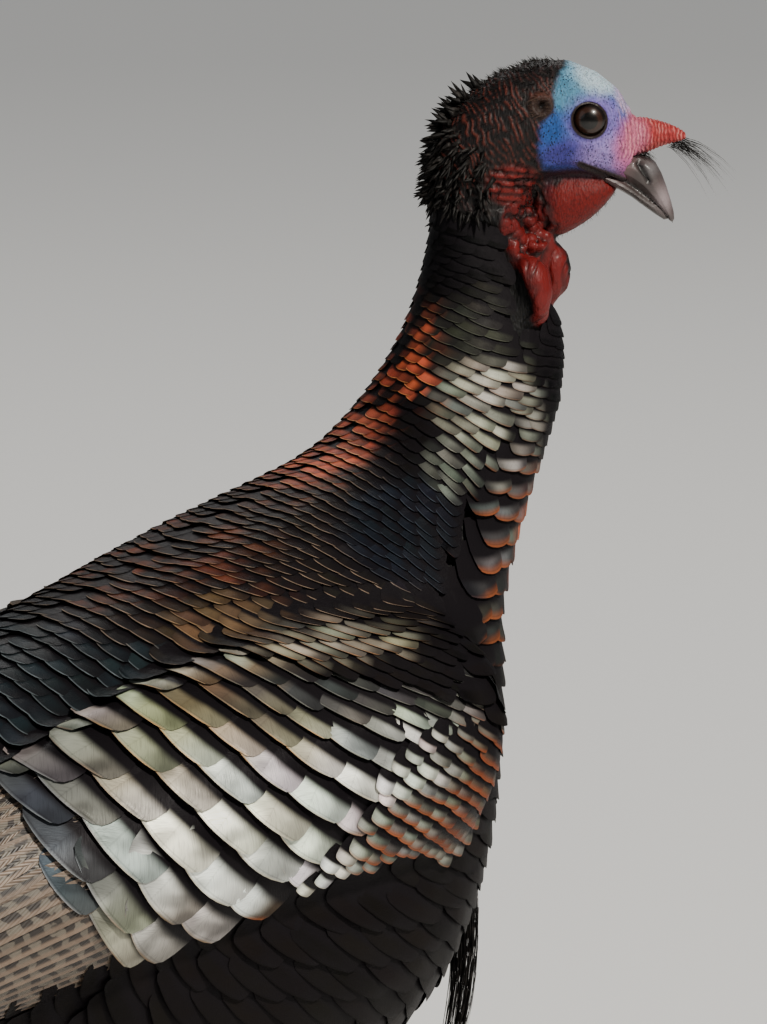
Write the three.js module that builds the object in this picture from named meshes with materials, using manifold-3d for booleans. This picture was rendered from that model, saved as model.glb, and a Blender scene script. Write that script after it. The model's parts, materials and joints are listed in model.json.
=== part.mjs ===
// A life-size still model of an adult male wild turkey (Meleagris gallopavo), standing with its neck
// half raised and its head turned to its right. Millimetres, +X forwards, +Y to the bird's left, +Z up,
// with the floor at z = 0. Every solid gives the outer shape of the plumage or of the bare parts.
import * as THREE from "three";
import { mergeVertices } from "three/addons/utils/BufferGeometryUtils.js";
import Module from "manifold-3d";

const wasm = await Module();
wasm.setup();

// ---------------------------------------------------------------- driving dimensions
const GAP = 0.35; // clearance between neighbouring pieces
const SIDES = [[1, "left"], [-1, "right"]];
const HEAD_TURN = THREE.MathUtils.degToRad(-33); // about the vertical, to the bird's right
const NECK_AXIS_X = 60; // the vertical line that the neck turns about

const EYE = { x: 105.5, y: 15.6, z: 771.5, radius: 8.6 };
const EAR = { x: 84.5, y: 20.5, z: 779, radius: 5 };

const TAIL = { length: 375, pitch: 25, baseHalf: 34, tipHalf: 82, thickness: 17, tipThickness: 4, arch: 20 };
const WING_WRAP = 1 / 330; // how fast a wing bends in towards the body above and below its middle
const WING_EDGE = 1.35; // above 1, a wing's upper and lower edges are thin

const LEG = { spread: 60, thighX: -112, thighZ: 392, hockX: -178, hockZ: 182, ballX: -143, hubRadius: 12.5 };
const THIGH_SHOULDER = 0.3; // the share of a thigh's height that its rounded top takes
const SHANK_WAIST = 5.6; // how much slimmer a shank is at its middle
const TOE = { radius: 7, taper: 0.72, sole: 0.62 }; // sole: the axis's height, as a share of the radius
const TOES = [
  { name: "middle", length: 74, angle: 2 },
  { name: "inner", length: 52, angle: 36 },
  { name: "outer", length: 56, angle: -34 },
  { name: "hind", length: 24, angle: 168 },
];
const CLAW = { length: 16, radius: 3.6, clearance: 0.6 };
const SPUR = { length: 19, radius: 5.2, height: 58 };
const BEARD = { length: 190, topZ: 468, topX: 36, swing: 20, width: 9, tipWidth: 13, thickness: 6 };

// Sections of the body from the tail's root to the top of the neck. Each is a plane through a point of
// the back line and a point of the breast line, both [x, z], with the half width between them.
const BODY_SECTIONS = [
  { back: [-404, 455], front: [-398, 434], half: 14 },
  { back: [-366, 478], front: [-350, 412], half: 40 },
  { back: [-318, 501], front: [-300, 366], half: 70 },
  { back: [-245, 530], front: [-225, 331], half: 98 },
  { back: [-165, 563], front: [-140, 315], half: 112 },
  { back: [-100, 589], front: [-68, 316], half: 114 },
  { back: [-56, 604], front: [-12, 340], half: 106 },
  { back: [-32, 613], front: [19, 388], half: 94 },
  { back: [-16, 621], front: [34, 452], half: 81 },
  { back: [-3, 632], front: [44, 520], half: 66 },
  { back: [8, 648], front: [70, 580], half: 51 },
  { back: [19, 670], front: [92, 632], half: 39 },
  { back: [27, 695], front: [94, 672], half: 32 },
  { back: [31, 716], front: [81, 703], half: 26 },
  { back: [32, 736], front: [77, 728], half: 23 },
];
const NECK_STARTS = 9; // the section where the trunk's solid ends and the neck's begins
const TURN_STARTS = 8; // the neck turns from this section to the last

// The same for the head, from the top of the neck to the forehead and the bill's root.
const HEAD_SECTIONS = [
  { back: [32, 736], front: [77, 728], half: 23 },
  { back: [33.5, 757], front: [82, 738], half: 23.5 },
  { back: [44, 776], front: [90, 743], half: 24 },
  { back: [68, 793.5], front: [99, 744.5], half: 24 },
  { back: [93, 798], front: [107, 744], half: 22 },
  { back: [112, 791], front: [115, 742.5], half: 18.5 },
  { back: [124, 779], front: [121, 740], half: 13.5 },
  { back: [129, 765], front: [126, 738.5], half: 9 },
];

// ---------------------------------------------------------------- maths
const { lerp, smoothstep, degToRad } = THREE.MathUtils;

// A smooth curve through values[0], values[1], ... read at a fractional index.
function through(values, index) {
  const last = values.length - 1;
  const i = Math.min(Math.floor(Math.max(index, 0)), last - 1);
  const t = index - i;
  const before = values[Math.max(i - 1, 0)];
  const after = values[Math.min(i + 2, last)];
  const a = (values[i + 1] - before) / 2;
  const b = (after - values[i]) / 2;
  const rise = values[i + 1] - values[i];
  return values[i] + t * (a + t * (3 * rise - 2 * a - b + t * (a + b - 2 * rise)));
}

// Turns a point of the head or neck about the neck's axis by a share of the head's turn.
function turned(point, share) {
  const x = point.x - NECK_AXIS_X;
  const c = Math.cos(HEAD_TURN * share);
  const s = Math.sin(HEAD_TURN * share);
  return point.set(NECK_AXIS_X + x * c - point.y * s, x * s + point.y * c, point.z);
}

const headTurned = (geometry) => {
  const point = new THREE.Vector3();
  const position = geometry.getAttribute("position");
  for (let i = 0; i < position.count; i++) {
    point.fromBufferAttribute(position, i);
    position.setXYZ(i, ...turned(point, 1));
  }
  return geometry;
};

// ---------------------------------------------------------------- solids
function volumeOf(geometry) {
  const p = geometry.getAttribute("position");
  const [a, b, c] = [new THREE.Vector3(), new THREE.Vector3(), new THREE.Vector3()];
  let volume = 0;
  for (let i = 0; i < geometry.index.count; i += 3) {
    a.fromBufferAttribute(p, geometry.index.getX(i));
    b.fromBufferAttribute(p, geometry.index.getX(i + 1));
    c.fromBufferAttribute(p, geometry.index.getX(i + 2));
    volume += a.dot(b.cross(c)) / 6;
  }
  return volume;
}

// Merges the seam of a three.js geometry and makes its faces point outwards.
function closed(geometry) {
  geometry.deleteAttribute("normal");
  geometry.deleteAttribute("uv");
  const merged = mergeVertices(geometry, 1e-3);
  if (volumeOf(merged) < 0) {
    const index = merged.index.array;
    for (let i = 0; i < index.length; i += 3) [index[i + 1], index[i + 2]] = [index[i + 2], index[i + 1]];
  }
  return merged;
}

// A closed form with flat ends: at(u, angle, reach) gives its points, u from 0 to 1 along it and reach
// from 0 on its axis to 1 on its surface.
function loft(around, along, at) {
  const geometry = new THREE.CylinderGeometry(1, 1, 1, around, along);
  const position = geometry.getAttribute("position");
  for (let i = 0; i < position.count; i++) {
    const [x, y, z] = [position.getX(i), position.getY(i), position.getZ(i)];
    const reach = Math.hypot(x, z);
    const point = at(y + 0.5, Math.atan2(z, x), reach < 1e-6 ? 0 : 1);
    position.setXYZ(i, point.x, point.y, point.z);
  }
  return closed(geometry);
}

// A closed form with pointed or rounded ends, made from a sphere.
function pod(around, along, at) {
  const geometry = new THREE.SphereGeometry(1, around, along);
  const position = geometry.getAttribute("position");
  for (let i = 0; i < position.count; i++) {
    const [x, y, z] = [position.getX(i), position.getY(i), position.getZ(i)];
    const u = Math.acos(THREE.MathUtils.clamp(-y, -1, 1)) / Math.PI;
    const point = at(u, Math.atan2(z, x), Math.hypot(x, z) < 1e-6 ? 0 : 1);
    position.setXYZ(i, point.x, point.y, point.z);
  }
  return closed(geometry);
}

function ball(radius, centre, scale = [1, 1, 1], around = 16, along = 10) {
  const geometry = new THREE.SphereGeometry(radius, around, along);
  geometry.scale(...scale);
  geometry.translate(...centre);
  return closed(geometry);
}

const manifoldOf = (geometry) =>
  new wasm.Manifold(
    new wasm.Mesh({
      numProp: 3,
      vertProperties: new Float32Array(geometry.getAttribute("position").array),
      triVerts: new Uint32Array(geometry.index.array),
    }),
  );

function geometryOf(manifold) {
  const mesh = manifold.getMesh();
  const geometry = new THREE.BufferGeometry();
  const position = new Float32Array(mesh.numVert * 3);
  for (let i = 0; i < mesh.numVert; i++) {
    position.set(mesh.vertProperties.subarray(i * mesh.numProp, i * mesh.numProp + 3), i * 3);
  }
  geometry.setAttribute("position", new THREE.BufferAttribute(position, 3));
  geometry.setIndex(new THREE.BufferAttribute(mesh.triVerts, 1));
  return geometry;
}

// The largest piece of a geometry with others cut away from it.
function cut(geometry, ...tools) {
  const left = tools.reduce((rest, tool) => rest.subtract(manifoldOf(tool)), manifoldOf(geometry));
  const pieces = left.decompose();
  pieces.sort((a, b) => b.volume() - a.volume());
  return geometryOf(pieces[0]);
}

const joined = (...geometries) =>
  geometryOf(geometries.slice(1).reduce((all, next) => all.add(manifoldOf(next)), manifoldOf(geometries[0])));

// ---------------------------------------------------------------- the body, neck and head
// A point of a run of sections. Above its widest line a section is a little squarer than below.
function sectionPoint(sections, index, angle, reach, grow, squareness = 2.25) {
  const read = (key, axis) => through(sections.map((s) => s[key][axis]), index);
  const back = new THREE.Vector2(read("back", 0), read("back", 1));
  const front = new THREE.Vector2(read("front", 0), read("front", 1));
  const half = through(sections.map((s) => s.half), index) + grow;
  const middle = back.clone().lerp(front, 0.5);
  const up = back.clone().sub(middle);
  up.setLength(up.length() + grow);
  const power = 2 / squareness;
  const rise = Math.sign(Math.sin(angle)) * Math.abs(Math.sin(angle)) ** power * reach;
  const side = Math.sign(Math.cos(angle)) * Math.abs(Math.cos(angle)) ** power * reach;
  return new THREE.Vector3(middle.x + up.x * rise, half * side, middle.y + up.y * rise);
}

// The unit normal of a section's plane, pointing towards the next one.
function sectionNormal(sections, index) {
  const read = (key, axis, at) => through(sections.map((s) => s[key][axis]), at);
  const dx = read("back", 0, index) - read("front", 0, index);
  const dz = read("back", 1, index) - read("front", 1, index);
  return new THREE.Vector3(dz, 0, -dx).normalize();
}

const LAST = BODY_SECTIONS.length - 1;
const neckShare = (index) => smoothstep(index, TURN_STARTS, LAST);

function bodyLoft(from, to, around, along, grow = 0) {
  const startNormal = sectionNormal(BODY_SECTIONS, from);
  const endNormal = sectionNormal(BODY_SECTIONS, to);
  const startShift = (from > 0 ? GAP : 0) - grow;
  return loft(around, along, (u, angle, reach) => {
    const index = lerp(from, to, u);
    const point = sectionPoint(BODY_SECTIONS, index, angle, reach, grow);
    point.addScaledVector(startNormal, startShift * (1 - smoothstep(u, 0, 0.5)));
    point.addScaledVector(endNormal, grow * smoothstep(u, 0.5, 1));
    return turned(point, neckShare(index));
  });
}

const trunkShape = (grow) => bodyLoft(0, NECK_STARTS, 24, 16, grow);
const neckShape = (grow) => bodyLoft(NECK_STARTS, LAST, 20, 10, grow);

function headShape(grow) {
  const last = HEAD_SECTIONS.length - 1;
  const normal = sectionNormal(HEAD_SECTIONS, 0);
  return loft(16, 10, (u, angle, reach) => {
    const point = sectionPoint(HEAD_SECTIONS, u * last, angle, reach, grow, 2.1);
    return point.addScaledVector(normal, (GAP - grow) * (1 - smoothstep(u, 0, 0.3)));
  });
}

const eyeShape = (side, grow) =>
  ball(EYE.radius + grow, [EYE.x, side * EYE.y, EYE.z], [1, 0.78, 1], 12, 8);

const earShape = (side, grow) =>
  ball(EAR.radius + grow, [EAR.x, side * EAR.y, EAR.z], [1, 0.75, 1.05], 8, 5);

// ---------------------------------------------------------------- the bill and the bare ornaments
// A tapering form in the plane of the head: lines of its upper and lower edge, each [x, z], and widths.
function headBlade(upper, lower, halves, around, along, grow) {
  const last = upper.length - 1;
  return pod(around, along, (u, angle, reach) => {
    const index = u * last;
    const top = [0, 1].map((axis) => through(upper.map((p) => p[axis]), index));
    const low = [0, 1].map((axis) => through(lower.map((p) => p[axis]), index));
    const half = through(halves, index) + grow;
    const stretch = 1 + (2 * grow) / Math.max(2, Math.hypot(top[0] - low[0], top[1] - low[1]));
    const rise = 0.5 + 0.5 * Math.sin(angle) * reach * stretch;
    const across = half * Math.cos(angle) * reach;
    return new THREE.Vector3(lerp(low[0], top[0], rise), across, lerp(low[1], top[1], rise));
  });
}

const upperBillShape = (grow) =>
  headBlade(
    [[117, 750.5], [131, 752.5], [138.5, 748.5], [143.5, 737.5], [147.2, 724.5], [147, 720.5]],
    [[113, 746], [123, 741.5], [131, 735.9], [138, 729.5], [143.4, 724], [146.6, 719.7]],
    [8, 9, 7.8, 6, 3.6, 0.8],
    12, 10, grow,
  );

const lowerBillShape = (grow) =>
  headBlade(
    [[112, 745.5], [121, 742.1], [129, 736.7], [136, 730.9], [141, 726]],
    [[110, 741.5], [119, 737.1], [128, 731.9], [136, 725.4], [140.4, 722.1]],
    [7.6, 8, 6.6, 4.8, 1.6],
    12, 8, grow,
  );

// The snood, a short fleshy cone that lies forwards from the bill's root.
const snoodShape = (grow) =>
  headBlade(
    [[119, 770], [130, 770.6], [140, 768.8], [148, 765.8], [154, 762]],
    [[119, 752], [130, 752.4], [140, 756.4], [148, 759], [153.4, 760]],
    [7, 7.6, 5.8, 4, 2.2],
    12, 8, grow,
  );

// The loose red skin under the jaw, a rounded keel between the jaw and the neck.
const dewlapShape = (grow) =>
  headBlade(
    [[78, 741.5], [88, 745.5], [100, 745.5], [112, 743.5], [122.5, 740.9]],
    [[84, 720.5], [91, 713.6], [101, 717.6], [112, 726], [121.5, 738.1]],
    [6, 11.5, 11, 9, 4],
    14, 9, grow,
  );

// The two large wattles that hang on the front of the neck.
const LOBES = [
  { centre: [89, 3, 696], size: [9.6, 7.8, 14.5] },
  { centre: [79, -21, 689.5], size: [10.8, 9.8, 17.5] },
];
const lobeShape = (side, grow) => {
  const lobe = LOBES[side > 0 ? 0 : 1];
  return ball(1, lobe.centre, lobe.size.map((radius) => radius + grow), 10, 8);
};

// Beaded caruncles down the front of the upper neck, in rows that widen downwards.
function beadedSkin() {
  const forward = [0, 2, 6, 5];
  const beads = [
    ball(1, [72, 0, 711], [9, 14, 17], 12, 8),
    ball(1, [81.5, 0, 710], [9.5, 9, 10.5], 12, 8),
  ];
  for (let row = 0; row < forward.length; row++) {
    const z = 724 - row * 7.2;
    const spread = 6.4 + row * 1.1;
    for (const place of [-1, 0, 1]) {
      const y = place * spread;
      const x = 79 + forward[row] - 0.04 * y * y;
      beads.push(ball(4.6, [x, y + (row % 2 ? 2 : -2), z], [1, 1, 0.86], 7, 4));
    }
  }
  return joined(...beads);
}

// ---------------------------------------------------------------- wings and tail
// A folded wing, a lens that wraps the flank from the wrist in front to the tips of the primaries. Its
// upper and lower edges are [x, z], with how far it stands out from the middle plane and how deep it is.
const WING_SECTIONS = [
  { upper: [-7, 522], lower: [-6, 496], outer: 111, depth: 12 },
  { upper: [-15, 545], lower: [-12, 452], outer: 125, depth: 28 },
  { upper: [-50, 556], lower: [-42, 424], outer: 134, depth: 36 },
  { upper: [-110, 552], lower: [-104, 408], outer: 139, depth: 40 },
  { upper: [-175, 538], lower: [-172, 396], outer: 138, depth: 40 },
  { upper: [-240, 512], lower: [-238, 384], outer: 129, depth: 38 },
  { upper: [-300, 478], lower: [-300, 374], outer: 115, depth: 32 },
  { upper: [-352, 442], lower: [-356, 366], outer: 98, depth: 24 },
  { upper: [-398, 409], lower: [-404, 362], outer: 84, depth: 16 },
  { upper: [-440, 378], lower: [-444, 364], outer: 74, depth: 8 },
];

function wingShape(side, grow) {
  const last = WING_SECTIONS.length - 1;
  const edge = (key, axis, index) => through(WING_SECTIONS.map((s) => s[key][axis]), index);
  const size = (key, index) => through(WING_SECTIONS.map((s) => s[key]), index);
  return pod(14, 15, (u, angle, reach) => {
    const index = u * last;
    const [top, low] = ["upper", "lower"].map((key) => [edge(key, 0, index), edge(key, 1, index)]);
    const half = (top[1] - low[1]) / 2 + grow;
    const rise = Math.sin(angle) * reach;
    const depth = size("depth", index);
    const wrap = WING_WRAP * (half * rise) ** 2;
    const across = Math.sign(Math.cos(angle)) * Math.abs(Math.cos(angle)) ** WING_EDGE * reach;
    const out = size("outer", index) - depth - wrap + (depth + grow) * across;
    return new THREE.Vector3(
      lerp(low[0], top[0], 0.5 + 0.5 * rise),
      side * out,
      (top[1] + low[1]) / 2 + half * rise,
    );
  });
}

// The closed tail, a long wedge with a roof-shaped section and a rounded end.
function tailShape(grow) {
  const pitch = degToRad(TAIL.pitch);
  return loft(16, 7, (u, angle, reach) => {
    const across = Math.cos(angle) * reach;
    const half = lerp(TAIL.baseHalf, TAIL.tipHalf, u ** 0.85) + grow;
    const along = TAIL.length * u * (1 - 0.1 * across * across * u * u);
    const thick = lerp(TAIL.thickness, TAIL.tipThickness, u ** 0.7) + 2 * grow;
    const drop = TAIL.arch * across * across * (0.5 + 0.5 * u);
    const up = thick * 0.5 * Math.sin(angle) * reach - drop;
    return new THREE.Vector3(
      -338 - Math.cos(pitch) * along + Math.sin(pitch) * up,
      half * across,
      458 - Math.sin(pitch) * along + Math.cos(pitch) * up,
    );
  });
}

// The coverts that lie over the tail's root, or under it.
const tailCovertShape = (side) =>
  pod(10, 7, (u, angle, reach) => {
    const pitch = degToRad(TAIL.pitch);
    const taper = Math.sin(Math.PI * (0.16 + 0.76 * u)) ** 0.6;
    const along = (side > 0 ? 200 : 155) * u - 30;
    const across = Math.cos(angle) * reach;
    const up = side * 7 + (side > 0 ? 12 : 9) * taper * Math.sin(angle) * reach - 14 * across * across;
    return new THREE.Vector3(
      -338 - Math.cos(pitch) * along + Math.sin(pitch) * up,
      (8 + 42 * taper) * across,
      458 - Math.sin(pitch) * along + Math.cos(pitch) * up,
    );
  });

// The beard, a tuft of bristles that hangs from the middle of the breast.
const beardShape = () =>
  pod(10, 9, (u, angle, reach) => {
    const thick = BEARD.thickness * (0.35 + 0.65 * Math.sin(Math.PI * Math.min(0.85, u + 0.2)));
    const half = lerp(BEARD.width, BEARD.tipWidth, u) * (0.3 + 0.7 * Math.sin(Math.PI * (0.1 + 0.8 * u)));
    const hang = BEARD.swing * Math.sin(Math.PI * Math.min(1, u * 1.15) * 0.62) - 26 * u * u;
    return new THREE.Vector3(
      BEARD.topX + hang + thick * Math.cos(angle) * reach,
      half * Math.sin(angle) * reach,
      BEARD.topZ - BEARD.length * u,
    );
  });

// ---------------------------------------------------------------- legs
const thighShape = (side) =>
  loft(14, 7, (u, angle, reach) => {
    const x = lerp(LEG.thighX, LEG.hockX + 3, u ** 1.1);
    const y = lerp(LEG.spread + 4, LEG.spread, u);
    const z = lerp(LEG.thighZ, LEG.hockZ + 12, u);
    const round = Math.min(1, 0.35 + 0.65 * Math.sqrt(u / THIGH_SHOULDER));
    const long = lerp(72, 12, u ** 0.72) * round;
    const wide = lerp(50, 11, u ** 0.74) * round;
    return new THREE.Vector3(
      x + long * Math.cos(angle) * reach,
      side * (y + wide * Math.sin(angle) * reach),
      z,
    );
  });

// The bare shank, thick at the hock and round at the ball of the foot, with a flat under it.
const shankShape = (side, grow) =>
  loft(12, 10, (u, angle, reach) => {
    const x = lerp(LEG.hockX, LEG.ballX, u ** 1.15);
    const z = lerp(LEG.hockZ + 9, -grow, u);
    const ends = Math.min(1, 0.35 + 4 * u, 0.72 + 2.8 * (1 - u));
    const waist = SHANK_WAIST * Math.sin(Math.PI * u);
    const long = (lerp(13, LEG.hubRadius, u) - waist) * ends + grow;
    const wide = (lerp(11, LEG.hubRadius + 1, u) - waist) * ends + grow;
    return new THREE.Vector3(
      x + long * Math.cos(angle) * reach,
      side * (LEG.spread + wide * Math.sin(angle) * reach),
      z,
    );
  });

// A toe along +X from the ball of the foot, with soft knuckles and a flat under it.
function toeShape(toe) {
  const start = LEG.hubRadius - 3;
  const raised = toe.name === "hind" ? 1.5 : 0;
  return pod(8, 6, (u, angle, reach) => {
    const knuckles = 0.6 * Math.cos(u * Math.PI * 5);
    const round = Math.min(1, 3.6 * Math.sqrt(u * (1 - u)));
    const radius = (lerp(TOE.radius, TOE.radius * TOE.taper, u) + knuckles) * round;
    const centre = TOE.sole * lerp(TOE.radius, TOE.radius * TOE.taper, u) + raised * (1 - u);
    return new THREE.Vector3(
      start + toe.length * u,
      radius * Math.cos(angle) * reach,
      Math.max(0, centre + radius * Math.sin(angle) * reach),
    );
  });
}

// A claw that bends down towards the floor and stops just above it.
function clawShape(toe) {
  const start = LEG.hubRadius - 3 + toe.length - 6;
  return pod(6, 5, (u, angle, reach) => {
    const radius = CLAW.radius * (1 - 0.72 * u) * Math.min(1, 4 * Math.sqrt(u * (1 - u)));
    const x = start + CLAW.length * u + 3;
    const z = 5.4 + 1.6 * u - 4.6 * u * u;
    const up = z + radius * Math.sin(angle) * reach;
    return new THREE.Vector3(x, 0.8 * radius * Math.cos(angle) * reach, Math.max(CLAW.clearance, up));
  });
}

const spurShape = (side) => {
  const share = 1 - SPUR.height / (LEG.hockZ + 9);
  const shankX = lerp(LEG.hockX, LEG.ballX, share ** 1.15);
  return pod(6, 5, (u, angle, reach) => {
    const radius = SPUR.radius * (1 - 0.8 * u) * Math.min(1, 4 * Math.sqrt(u * (1 - u)));
    const back = SPUR.length * u;
    return new THREE.Vector3(
      shankX - 2 - back * 0.82,
      side * (LEG.spread - 2 - back * 0.45 + radius * Math.cos(angle) * reach),
      SPUR.height + back * 0.18 + radius * Math.sin(angle) * reach,
    );
  });
};

// ---------------------------------------------------------------- materials
const material = (color, roughness, metalness = 0) =>
  new THREE.MeshStandardMaterial({ color, roughness, metalness });
const plumage = material(0x2c2320, 0.45, 0.35);
const wingPlumage = material(0x6a625a, 0.4, 0.4);
const tailPlumage = material(0x5a3a26, 0.7);
const blueSkin = material(0x5d6fb5, 0.6);
const redSkin = material(0xa3241c, 0.5);
const horn = material(0x6d6262, 0.45);
const legSkin = material(0xa8807a, 0.6);
const eyeBrown = material(0x1c1210, 0.1);
const bristle = material(0x14110f, 0.6);

// ---------------------------------------------------------------- the bird
const bird = new THREE.Group();

function add(name, geometry, finish) {
  const mesh = new THREE.Mesh(geometry, finish);
  mesh.name = name;
  bird.add(mesh);
  return mesh;
}

// The head's pieces are made in the head's own straight frame, turned together, and cut to each other.
function addHead() {
  const neck = neckShape(GAP);
  const fit = (shape, ...tools) => cut(headTurned(shape), neck, ...tools.map(headTurned));
  const bill = () => [upperBillShape(GAP), lowerBillShape(GAP)];
  const sockets = SIDES.flatMap(([side]) => [eyeShape(side, GAP), earShape(side, GAP)]);
  add("head", fit(headShape(0), ...sockets, ...bill(), snoodShape(GAP), dewlapShape(GAP)), blueSkin);
  for (const [side, end] of SIDES) {
    add(`eye_${end}`, headTurned(eyeShape(side, 0)), eyeBrown);
    add(`ear_${end}`, headTurned(earShape(side, 0)), redSkin);
  }
  add("bill_upper", fit(upperBillShape(0), snoodShape(GAP)), horn);
  add("bill_lower", fit(lowerBillShape(0), upperBillShape(GAP)), horn);
  add("snood", headTurned(snoodShape(0)), redSkin);
  add("dewlap", fit(dewlapShape(0), ...bill()), redSkin);
  add("caruncle_left", fit(lobeShape(1, 0), dewlapShape(GAP)), redSkin);
  add("caruncle_right", fit(lobeShape(-1, 0), dewlapShape(GAP), lobeShape(1, GAP)), redSkin);
  const lobes = SIDES.map(([side]) => lobeShape(side, GAP));
  add("caruncle_beads", fit(beadedSkin(), headShape(GAP), dewlapShape(GAP), ...lobes), redSkin);
}

// A geometry grown by the gap about its own centre.
function grown(geometry) {
  const copy = geometry.clone();
  copy.computeBoundingBox();
  const size = copy.boundingBox.getSize(new THREE.Vector3());
  const centre = copy.boundingBox.getCenter(new THREE.Vector3());
  copy.translate(-centre.x, -centre.y, -centre.z);
  copy.scale(1 + (2.4 * GAP) / size.x, 1 + (2.4 * GAP) / size.y, 1 + (2.4 * GAP) / size.z);
  copy.translate(centre.x, centre.y, centre.z);
  return copy;
}

function addBody(trunkCutter) {
  const wingCutters = SIDES.map(([side]) => wingShape(side, GAP));
  add("trunk", trunkShape(0), plumage);
  add("neck", neckShape(0), plumage);
  for (const [side, end] of SIDES) add(`wing_${end}`, cut(wingShape(side, 0), trunkCutter), wingPlumage);
  add("tail", cut(tailShape(0), trunkCutter, ...wingCutters), tailPlumage);
  for (const [side, end] of [[1, "upper"], [-1, "lower"]]) {
    const coverts = cut(tailCovertShape(side), trunkCutter, tailShape(GAP), ...wingCutters);
    add(`tail_coverts_${end}`, coverts, tailPlumage);
  }
  add("beard", cut(beardShape(), trunkCutter), bristle);
}

function addLeg(side, end, trunkCutter) {
  const thigh = cut(thighShape(side), trunkCutter, wingShape(side, GAP), shankShape(side, GAP));
  add(`thigh_${end}`, thigh, plumage);
  add(`shank_${end}`, shankShape(side, 0), legSkin);
  add(`spur_${end}`, cut(spurShape(side), shankShape(side, GAP)), horn);
  TOES.forEach((toe, place) => addToe(side, end, toe, TOES.slice(0, place)));
}

// A toe and its claw in a group of their own, turned about the ball of the foot. The toe is cut to the
// shank, to its claw, and to the toes that are there already.
function addToe(side, end, toe, before) {
  const yaw = (other) => -side * degToRad(other.angle);
  const foot = new THREE.Group();
  foot.position.set(LEG.ballX, side * LEG.spread, 0);
  foot.rotation.z = yaw(toe);
  foot.updateMatrix();
  const shank = shankShape(side, GAP).applyMatrix4(foot.matrix.clone().invert());
  const others = before.map((other) => grown(toeShape(other)).rotateZ(yaw(other) - yaw(toe)));
  const toeSolid = cut(toeShape(toe), shank, grown(clawShape(toe)), ...others);
  foot.add(add(`toe_${toe.name}_${end}`, toeSolid, legSkin));
  foot.add(add(`claw_${toe.name}_${end}`, clawShape(toe), horn));
  bird.add(foot);
}

const trunkCutter = trunkShape(GAP);
addBody(trunkCutter);
addHead();
for (const [side, end] of SIDES) addLeg(side, end, trunkCutter);

// The part's origin is on the floor under the middle of its box.
bird.updateMatrixWorld(true);
const box = new THREE.Box3().setFromObject(bird, true);
bird.position.set(-(box.min.x + box.max.x) / 2, -(box.min.y + box.max.y) / 2, -box.min.z);

export default bird;
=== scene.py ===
"""A life-size still model of an adult male wild turkey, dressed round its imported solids.

Places are written in the bird's own millimetres: x forwards, y to its left, z up, with x = 0 under the
root of the neck. The straight bird is the same bird before its neck and head turn to its right. Both
sides of the straight bird are alike, so a place on it is given for the left side and stands for both.
"""

import json
import logging
import math
from dataclasses import dataclass, field, replace
from enum import Enum
from typing import Any, Callable, Iterable, Mapping, Sequence

import bmesh
import bpy
import numpy as np
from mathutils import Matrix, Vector
from mathutils.bvhtree import BVHTree
from mathutils.kdtree import KDTree

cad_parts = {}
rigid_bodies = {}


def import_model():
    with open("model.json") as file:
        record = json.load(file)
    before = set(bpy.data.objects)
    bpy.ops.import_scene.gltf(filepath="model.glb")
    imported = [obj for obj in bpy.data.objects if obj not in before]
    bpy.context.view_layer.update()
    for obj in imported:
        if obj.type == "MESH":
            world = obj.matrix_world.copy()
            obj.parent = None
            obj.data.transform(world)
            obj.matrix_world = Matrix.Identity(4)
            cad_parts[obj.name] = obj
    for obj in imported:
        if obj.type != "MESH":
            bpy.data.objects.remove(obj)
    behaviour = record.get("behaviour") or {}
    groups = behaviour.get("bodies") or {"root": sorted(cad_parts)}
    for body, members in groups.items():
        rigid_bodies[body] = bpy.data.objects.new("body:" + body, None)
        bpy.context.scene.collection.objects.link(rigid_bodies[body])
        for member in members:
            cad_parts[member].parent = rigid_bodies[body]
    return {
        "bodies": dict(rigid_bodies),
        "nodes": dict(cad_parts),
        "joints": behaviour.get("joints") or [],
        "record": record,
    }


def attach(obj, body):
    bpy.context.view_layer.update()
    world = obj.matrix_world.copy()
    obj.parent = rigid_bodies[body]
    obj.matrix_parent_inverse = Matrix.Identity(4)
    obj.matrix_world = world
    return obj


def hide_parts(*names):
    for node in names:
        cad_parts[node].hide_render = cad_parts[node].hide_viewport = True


LOG = logging.getLogger("turkey")
MM = 0.001
FORE = 270.06  # the frame's x of the bird's own x = 0, in millimetres
SIDES = {"left": 1.0, "right": -1.0}
TOES = ("middle", "inner", "outer", "hind")
TURN = 2.0 * math.pi
BATCH = 20000  # how many places are compared with the carriage at once
Array = np.ndarray
Triple = tuple[float, float, float]
Settings = Mapping[str, Any]
Inputs = Mapping[Any, Any]
Piece = bpy.types.Object
Material = bpy.types.Material


# ---- numbers
def to_bird(points: Array) -> Array:
    """Frame metres to bird millimetres."""
    return points / MM - (FORE, 0.0, 0.0)


def to_frame(points: Array) -> Array:
    """Bird millimetres to frame metres."""
    return (points + (FORE, 0.0, 0.0)) * MM


def unit(vectors: Array) -> Array:
    """Vectors brought to length one, with nought left as it is."""
    return vectors / np.maximum(np.linalg.norm(vectors, axis=-1, keepdims=True), 1e-9)


def flattened(ways: Array, normals: Array) -> Array:
    """Directions laid into the planes of normals, with length one."""
    return unit(ways - normals * (ways * normals).sum(axis=1, keepdims=True))


def smoothstep(values: Array, low: float, high: float) -> Array:
    """A smooth rise from 0 at low to 1 at high, or a fall where high is the smaller."""
    t = np.clip((values - low) / (high - low), 0.0, 1.0)
    return t * t * (3.0 - 2.0 * t)


def linear(code: str) -> Array:
    """A colour written as six hexadecimal digits, in linear light."""
    values = np.array([int(code[i : i + 2], 16) / 255.0 for i in (0, 2, 4)])
    return np.where(values <= 0.04045, values / 12.92, ((values + 0.055) / 1.055) ** 2.4)


def bell(values: Array, width: float) -> Array:
    """A bell of height one."""
    return np.exp(-((values / width) ** 2))


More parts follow.
